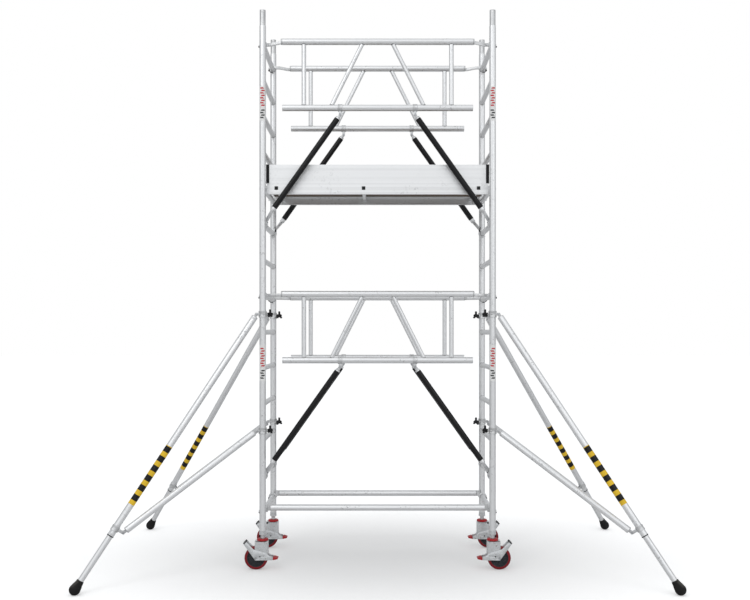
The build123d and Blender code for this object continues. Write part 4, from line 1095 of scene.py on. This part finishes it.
fork_outline = softened([
    (post_x - fork_in, fork_top), (post_x - fork_in, wheel_r - 2 * axle_r),
    (axle.x + axle_r / 2, wheel_r - 2 * axle_r), (axle.x + 2 * axle_r + 0.002, wheel_r + axle_r),
    (post_x + fork_out, 0.150), (post_x + fork_out, fork_top),
], 0.010, 4)
crown = softened(rectangle(-fork_in, fork_out, -leg_out, leg_out), 0.006)
fork_holes = [circle((axle.x, axle.z), axle_r + 0.00005, 18)]
fork_parts = [
    (plate(crown, 0.008, Matrix.Translation(post_axis + Vector((0, 0, fork_top - 0.004))), 0.0015,
           [circle((0, 0), 0.01005, 24)]), zinc),
    (tube(axle - Vector((0, leg_out, 0)), axle + Vector((0, leg_out, 0)), axle_r, 0, 20), pin_metal),
]
for side in (1, -1):
    middle = (leg_in + leg_out) / 2 * side
    fork_parts.append((upright_plate(fork_outline, post_y + middle, 0.005, 0.001, fork_holes), zinc))
    face = post_y + side * leg_out
    shelf = softened(rectangle(post_x - fork_in + 0.004, post_x + fork_out - 0.004, 0.184, 0.188), 0.001)
    fork_parts.append((upright_plate(shelf, face - side * 0.0004, 0.0014, 0.0002), zinc))
    # The rib and the axle's flat head stay inside the gap that the rocking pedal leaves.
    bolt = Vector((axle.x, face, axle.z))
    fork_parts.append((tube(bolt, bolt + Vector((0, side * 0.0004, 0)), 0.0105, 0, 6, 0, 0.0001), pin_metal))
    stud = Vector((pivot.x, face - side * 0.001, pivot.z))
    stud_end = stud + Vector((0, side * 0.0065, 0))
    fork_parts.append((tube(stud, stud_end, 0.005, 0, 18, 0, 0.0008), black_nylon))
tab = softened(rectangle(post_x + fork_out - 0.016, post_x + fork_out - 0.002, 0.206, 0.222), 0.003)
fork_parts.append((upright_plate(tab, post_y - leg_out - 0.0004, 0.0012, 0.0004), black_nylon))
print("fork plates", len(fork_parts))

# %% Wheel
tyre_side = [(0.0080, wheel_r), (0.0160, 0.0896), (0.0200, 0.0882), (0.0222, 0.0856), (0.023, 0.0820),
             (0.023, core_r + 0.0001)]
tyre_profile = [(-across, radius) for across, radius in reversed(tyre_side)] + tyre_side
core_profile = [(-0.025, axle_r + 0.0001), (-0.025, 0.0185), (-0.0235, hub_r), (-0.0125, hub_r + 0.0015),
                (-0.0115, 0.0600), (-0.0190, 0.0635), (-0.0210, 0.0655), (-0.0210, core_r), (0.0210, core_r),
                (0.0210, 0.0655), (0.0190, 0.0635), (0.0115, 0.0600), (0.0125, hub_r + 0.0015), (0.0235, hub_r),
                (0.025, 0.0185), (0.025, axle_r + 0.0001)]
wheel_at = basis(axle, (1, 0, 0), (0, 1, 0))
wheel_parts = [(placed(turned(tyre_profile, 64), wheel_at), wheel_red),
               (placed(turned(core_profile, 64), wheel_at), wheel_core_grey)]
for spoke in range(8):
    turn = wheel_at @ Matrix.Rotation(math.radians(45 * spoke), 4, "Z")
    rib = rectangle(hub_r + 0.0005, 0.0615, -0.003, 0.003)
    wheel_parts.append((plate(rib, 0.036, turn, 0.001), wheel_core_grey))
print("wheel has", sum(len(shape[1]) for shape, _ in wheel_parts), "faces")

# %% Brake pedal
pedal_in, pedal_thick = 0.031, 0.003
pedal_outline = softened([(post_x + x, z) for x, z in (
    (-0.082, 0.076), (0.054, 0.074), (0.149, 0.207), (0.130, 0.224), (0.067, 0.160), (0.040, 0.150),
    (-0.030, 0.130), (-0.060, 0.106), (-0.082, 0.104))], 0.006, 4)
inner_tread = softened([(post_x + x, z) for x, z in (
    (-0.082, 0.076), (-0.120, 0.084), (-0.119, 0.091), (-0.090, 0.100), (-0.082, 0.096))], 0.003)
outer_tread = softened([(post_x + x, z) for x, z in (
    (0.149, 0.207), (0.130, 0.224), (0.121, 0.215), (0.140, 0.198))], 0.003)
pedal_holes = [circle((pivot.x, pivot.z), 0.00505, 16), circle((axle.x, axle.z), axle_r + 0.004, 20)]
pedal_parts = []
for side in (1, -1):
    middle = post_y + side * (pedal_in + pedal_thick / 2)
    pedal_parts.append((upright_plate(pedal_outline, middle, pedal_thick, 0.0008, pedal_holes), zinc))
pedal_parts.append((upright_plate(inner_tread, post_y, 2 * (pedal_in + pedal_thick), 0.0015), red_nylon))
pedal_parts.append((upright_plate(outer_tread, post_y, 2 * (pedal_in + pedal_thick), 0.0015), black_nylon))
for corner, signs in corners.items():
    make_piece(f"caster_fork_{corner}_look", f"fork_{corner}", mirrored(fork_parts, *signs),
               [f"caster_fork_{corner}"])
    make_piece(f"caster_wheel_{corner}_look", f"wheel_{corner}", mirrored(wheel_parts, *signs),
               [f"caster_wheel_{corner}"])
    make_piece(f"brake_pedal_{corner}_look", f"pedal_{corner}", mirrored(pedal_parts, *signs),
               [f"brake_pedal_{corner}"])

# %% [markdown]
# ## Stabilisers
# An outrigger is a long tube with an inner tube that slides to set its reach, a shorter strut below
# it, and two couplers that clamp to the post. The upper pin and the foot fix its line in space, so
# both are worked out first and every piece is placed along that line.

# %% Lines of the stabiliser
angle = math.radians(29)
out = Vector((math.cos(angle), math.sin(angle), 0))
side_way = Vector((out.y, -out.x, 0))
up = Vector((0, 0, 1))
pin_reach, foot_reach, foot_r, foot_z = 0.050, 1.403, 0.040, 0.038
upper_z, lower_z = 1.980, 1.075
upper_pin, lower_pin = (post_axis + out * pin_reach + up * z for z in (upper_z, lower_z))
foot_centre = post_axis + out * foot_reach + up * foot_z
leg_way, leg_length = (foot_centre - upper_pin).normalized(), (foot_centre - upper_pin).length
leg_place = basis(upper_pin, leg_way, side_way)
prop_drop = 0.067
collar_place = leg_place @ Matrix.Translation((1.880, 0, 0))
prop_pin = collar_place @ Vector((0, -prop_drop, 0))
prop_way, prop_length = (prop_pin - lower_pin).normalized(), (prop_pin - lower_pin).length
print("leg", round(leg_length, 4), "strut", round(prop_length, 4))


# %% Leg tubes and hazard tape
def along_leg(distance):
    """Point on the leg's line, measured from its upper pin."""
    return upper_pin + leg_way * distance


leg_r, inner_r, prop_r, leg_end = 0.0245, 0.0215, 0.024, 1.938
leg_parts = tongue(leg_place, leg_r, cast_metal)
leg_parts.append((tube(along_leg(0.030), along_leg(leg_end), leg_r, leg_r - 0.0018, 48, 0.0003), tube_metal))
tape_start, tape_end, black_band, yellow_band = 1.195, 1.684, 0.045, 0.036
bands, here, paint = [(tape_start, tape_start + 0.006, tape_yellow)], tape_start + 0.006, tape_black
while here < tape_end - 0.001:
    there = min(here + (black_band if paint is tape_black else yellow_band), tape_end)
    bands.append((here, there, paint))
    here, paint = there, tape_yellow if paint is tape_black else tape_black
for low, high, paint in bands:
    band_tube = tube(along_leg(low), along_leg(high), leg_r + 0.0004, leg_r + 0.00005, 32, 0, 0.0001)
    leg_parts.append((band_tube, paint))
bush = [(0, inner_r + 0.0003), (0, leg_r + 0.0015), (0.0008, leg_r + 0.002), (0.0048, leg_r + 0.002),
        (0.006, leg_r + 0.0006), (0.006, inner_r + 0.0003)]
leg_parts.append((placed(turned(bush, 32), frame_at(along_leg(leg_end), leg_way)), black_nylon))
leg_parts += collar_bracket(collar_place, leg_r, 0.005, 0.040, prop_drop, cast_metal)
leg_parts += tongue(basis(lower_pin, prop_way, side_way), prop_r, cast_metal)
leg_parts += tongue(basis(prop_pin, -prop_way, side_way), prop_r, cast_metal)
prop_ends = lower_pin + prop_way * 0.030, prop_pin - prop_way * 0.030
leg_parts.append((tube(*prop_ends, prop_r, prop_r - 0.0015, 48, 0.0003), tube_metal))
print(len(bands), "tape bands")

# %% [markdown]
# The couplers are two castings bolted round the post, with a fork outside and a stud inside for the
# knob. The collar bracket above already has that form, so it is used again, turned to the post.

# %% Couplers
def coupler(z):
    """Coupler at a height on the post."""
    place = basis(post_axis + up * z, up, side_way)
    parts = collar_bracket(place, post_r, 0.006, 0.050, pin_reach, cast_metal)
    stud_start = post_axis + up * z - out * (post_r + 0.002)
    parts.append((tube(stud_start, post_axis + up * z - out * 0.072, 0.005, 0, 18), pin_metal))
    boss_end = post_axis + up * z - out * (post_r + 0.011)
    parts.append((tube(stud_start, boss_end, 0.012, 0.0051, 24, 0, 0.001), cast_metal))
    for side in (1, -1):
        lug = post_axis + up * z + side_way * side * (post_r + 0.004)
        parts.append((tube(lug + out * 0.009, lug - out * 0.009, 0.0068, 0.003, 18, 0, 0.001), cast_metal))
    return parts


# %% Knob
def knob(z):
    """Three-wing hand knob on the coupler's stud."""
    start = post_axis + up * z - out * 0.040
    place = basis(start, up, -out)
    bore = 0.0053
    hub = [(0, bore), (0, 0.0120), (0.001, 0.013), (0.036, 0.013), (0.0405, 0.0115), (0.043, 0.0085),
           (0.044, 0.0)]
    cup = [(0.0326, 0.0), (0.0326, bore)]
    parts = [(placed(turned(cup + hub, 28, closed=False), place), black_nylon)]
    for wing in range(3):
        turn = place @ Matrix.Translation((0, 0, 0.022)) @ Matrix.Rotation(math.radians(120 * wing), 4, "Z")
        outline = [(0.008, -0.007), (0.022, -0.0055)] + arc((0.032, 0), 0.006, -90, 90, 10)
        outline += [(0.022, 0.0055), (0.008, 0.007)]
        parts.append((plate(outline, 0.016, turn, 0.0025), black_nylon))
    return parts


# %% [markdown]
# The foot is a rubber bell pushed on to the inner tube. It is turned, then cut flat where it stands
# on the floor, with the cut closed so that the mesh stays whole.

# %% Rubber foot
def rubber_foot():
    """Bell with two rings, flat on the floor."""
    neck, neck_r = 0.070, 0.0255
    profile = [(-neck, inner_r + 0.0001), (-neck, neck_r - 0.001), (-neck + 0.001, neck_r),
               (-0.060, neck_r + 0.0018), (-0.0585, neck_r + 0.0005), (-0.0500, neck_r + 0.0040),
               (-0.0485, neck_r + 0.0028), (-0.030, 0.0345)]
    for step in range(9):
        turn = math.radians(112 - 112 * step / 8)
        profile.append((foot_r * math.cos(turn), foot_r * math.sin(turn) if step < 8 else 0.0))
    points, faces, _ = placed(turned(profile, 40, closed=False), frame_at(foot_centre, leg_way))
    work = bmesh.new()
    verts = [work.verts.new(point) for point in points]
    for face in faces:
        work.faces.new([verts[index] for index in face])
    everything = work.verts[:] + work.edges[:] + work.faces[:]
    cut = bmesh.ops.bisect_plane(
        work, geom=everything, plane_co=(0, 0, 0.0002), plane_no=(0, 0, -1), clear_outer=True
    )
    edges = [item for item in cut["geom_cut"] if isinstance(item, bmesh.types.BMEdge)]
    bmesh.ops.holes_fill(work, edges=edges)
    bmesh.ops.remove_doubles(work, verts=work.verts, dist=1e-5)
    work.verts.index_update()
    points = [vert.co.copy() for vert in work.verts]
    faces = [[vert.index for vert in face.verts] for face in work.faces]
    maps = [[(vert.co.x, vert.co.z) for vert in face.verts] for face in work.faces]
    work.free()
    return points, faces, maps


inner_start = 1.500
inner_ends = along_leg(inner_start), along_leg(leg_length - 0.0003)
foot_parts = [
    (tube(*inner_ends, inner_r, inner_r - 0.002, 40, 0.0003), tube_metal),
    (rubber_foot(), black_rubber),
]
coupler_parts = coupler(upper_z) + coupler(lower_z)
knobs = {"upper": knob(upper_z), "lower": knob(lower_z)}
for corner, signs in corners.items():
    body = f"stabiliser_{corner}"
    make_piece(f"{body}_look", body, mirrored(leg_parts, *signs), [body])
    make_piece(f"stabiliser_couplers_{corner}_look", body, mirrored(coupler_parts, *signs),
               [f"stabiliser_couplers_{corner}"])
    make_piece(f"stabiliser_foot_{corner}_look", f"foot_{corner}", mirrored(foot_parts, *signs),
               [f"stabiliser_foot_{corner}"])
    for level, parts in knobs.items():
        make_piece(f"{level}_knob_{corner}_look", f"{level}_knob_{corner}", mirrored(parts, *signs),
                   [f"{level}_knob_{corner}"])

# %% [markdown]
# ## Studio
# The floor is a large pale plane with a painted shadow under the tower: a soft grey pool painted
# into the floor's colour, read from the floor's coordinates, so it stays in place from every side.

# %% Floor
floor_mesh = bpy.data.meshes.new("studio_floor")
reach = 60.0
floor_corners = [(-reach, -reach, 0), (reach, -reach, 0), (reach, reach, 0), (-reach, reach, 0)]
floor_mesh.from_pydata(floor_corners, [], [(0, 1, 2, 3)])
floor = bpy.data.objects.new("studio_floor", floor_mesh)
floor.location.z = -0.0005
scene.collection.objects.link(floor)
floor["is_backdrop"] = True
floor_paint, floor_tree, floor_shader, floor_place = new_finish("studio_floor")
# Painted shadow: a soft grey pool under the tower, painted into the floor's colour from its coordinates.
stretch_painted_shadow = floor_tree.nodes.new("ShaderNodeVectorMath")
stretch_painted_shadow.operation = "MULTIPLY"
shadow_across, shadow_deep = 3.5, 2.3
stretch_painted_shadow.inputs[1].default_value = (1 / shadow_across, 1 / shadow_deep, 1.0)
floor_tree.links.new(floor_place, stretch_painted_shadow.inputs[0])
from_middle = floor_tree.nodes.new("ShaderNodeVectorMath")
from_middle.operation = "LENGTH"
floor_tree.links.new(stretch_painted_shadow.outputs[0], from_middle.inputs[0])
painted_shadow = floor_tree.nodes.new("ShaderNodeMapRange")
painted_shadow.interpolation_type = "SMOOTHSTEP"
painted_shadow.inputs["From Min"].default_value, painted_shadow.inputs["From Max"].default_value = 0.05, 1.0
floor_tree.links.new(from_middle.outputs["Value"], painted_shadow.inputs["Value"])
# The painted shadow darkens the floor colour, which feeds both the base colour and the glow.
floor_with_painted_shadow = tinted(floor_tree, painted_shadow.outputs["Result"], (0.64, 0.64, 0.64), (0.98, 0.98, 0.98))
floor_tree.links.new(floor_with_painted_shadow, floor_shader.inputs["Base Color"])
floor_tree.links.new(floor_with_painted_shadow, floor_shader.inputs["Emission Color"])
floor_shader.inputs["Emission Strength"].default_value = 0.36
floor_shader.inputs["Roughness"].default_value = 0.9
floor_shader.inputs["Specular IOR Level"].default_value = 0.0
dim = floor_tree.nodes.new("ShaderNodeBsdfDiffuse")
dim.inputs["Color"].default_value = (0.66, 0.66, 0.66, 1.0)
seen_floor = floor_tree.nodes.new("ShaderNodeMixShader")
camera_ray = floor_tree.nodes.new("ShaderNodeLightPath").outputs["Is Camera Ray"]
floor_tree.links.new(camera_ray, seen_floor.inputs[0])
floor_tree.links.new(dim.outputs[0], seen_floor.inputs[1])
floor_tree.links.new(floor_shader.outputs[0], seen_floor.inputs[2])
floor_tree.links.new(seen_floor.outputs[0], floor_tree.nodes["Material Output"].inputs[0])
floor_mesh.materials.append(floor_paint)
print("floor", floor.name)

# %% [markdown]
# Bright metal is mostly what it reflects. The studio is bright in front and above and about half as
# bright at the sides, so a round tube shows a pale middle and grey edges. The camera sees plain white.

# %% World light
world = bpy.data.worlds.new("studio")
world.use_nodes = True
scene.world = world
sky = world.node_tree
sky.nodes.clear()
way = sky.nodes.new("ShaderNodeTexCoord").outputs["Generated"]
ways = sky.nodes.new("ShaderNodeSeparateXYZ")
sky.links.new(way, ways.inputs[0])
front_light = remapped(sky, maths(sky, "MULTIPLY", ways.outputs["Y"], -1.0), 0.2, 0.95, 0.46, 0.98)
back_light = remapped(sky, ways.outputs["Y"], 0.5, 1.0, 0.0, 0.1)
overhead = remapped(sky, ways.outputs["Z"], 0.25, 1.0, 0.0, 0.3)
strength = maths(sky, "ADD", maths(sky, "ADD", front_light, back_light), overhead)
studio_light = sky.nodes.new("ShaderNodeBackground")
sky.links.new(strength, studio_light.inputs["Strength"])
studio_light.inputs["Color"].default_value = (0.97, 0.985, 1.0, 1.0)
seen = sky.nodes.new("ShaderNodeBackground")
seen.inputs["Color"].default_value = (1, 1, 1, 1)
choice = sky.nodes.new("ShaderNodeMixShader")
sky.links.new(sky.nodes.new("ShaderNodeLightPath").outputs["Is Camera Ray"], choice.inputs[0])
sky.links.new(studio_light.outputs[0], choice.inputs[1])
sky.links.new(seen.outputs[0], choice.inputs[2])
sky.links.new(choice.outputs[0], sky.nodes.new("ShaderNodeOutputWorld").inputs[0])
print("world", world.name)

# %% Soft lamps
for name, spot, size, power in (("key", (-3.5, -5.5, 7.0), 3.0, 70.0), ("fill", (4.5, -4.5, 4.0), 3.0, 25.0)):
    lamp = bpy.data.lights.new(name, "AREA")
    lamp.shape, lamp.size, lamp.energy = "DISK", size, power
    holder = bpy.data.objects.new(name, lamp)
    holder.location = spot
    holder.rotation_euler = (Vector((0, 0, 1.8)) - Vector(spot)).to_track_quat("-Z", "Y").to_euler()
    scene.collection.objects.link(holder)
    print("lamp", name, power, "W")

# %% [markdown]
# The camera stands in front, at chest height on the lower storey, and looks straight along +Y.

# %% Camera
camera_data = bpy.data.cameras.new("camera")
camera_data.lens, camera_data.sensor_width = 42.32, 36.0
camera_data.shift_x, camera_data.shift_y = -0.0035, 0.0429
camera_data.clip_end = 200.0
camera = bpy.data.objects.new("camera", camera_data)
camera.location = (0.0, -7.20, 1.84)
camera.rotation_euler = (math.radians(90), 0.0, 0.0)
scene.collection.objects.link(camera)
scene.camera = camera
scene.view_settings.view_transform = "Standard"

low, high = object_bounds()
print("visual size", [round(b - a, 3) for a, b in zip(low, high)])
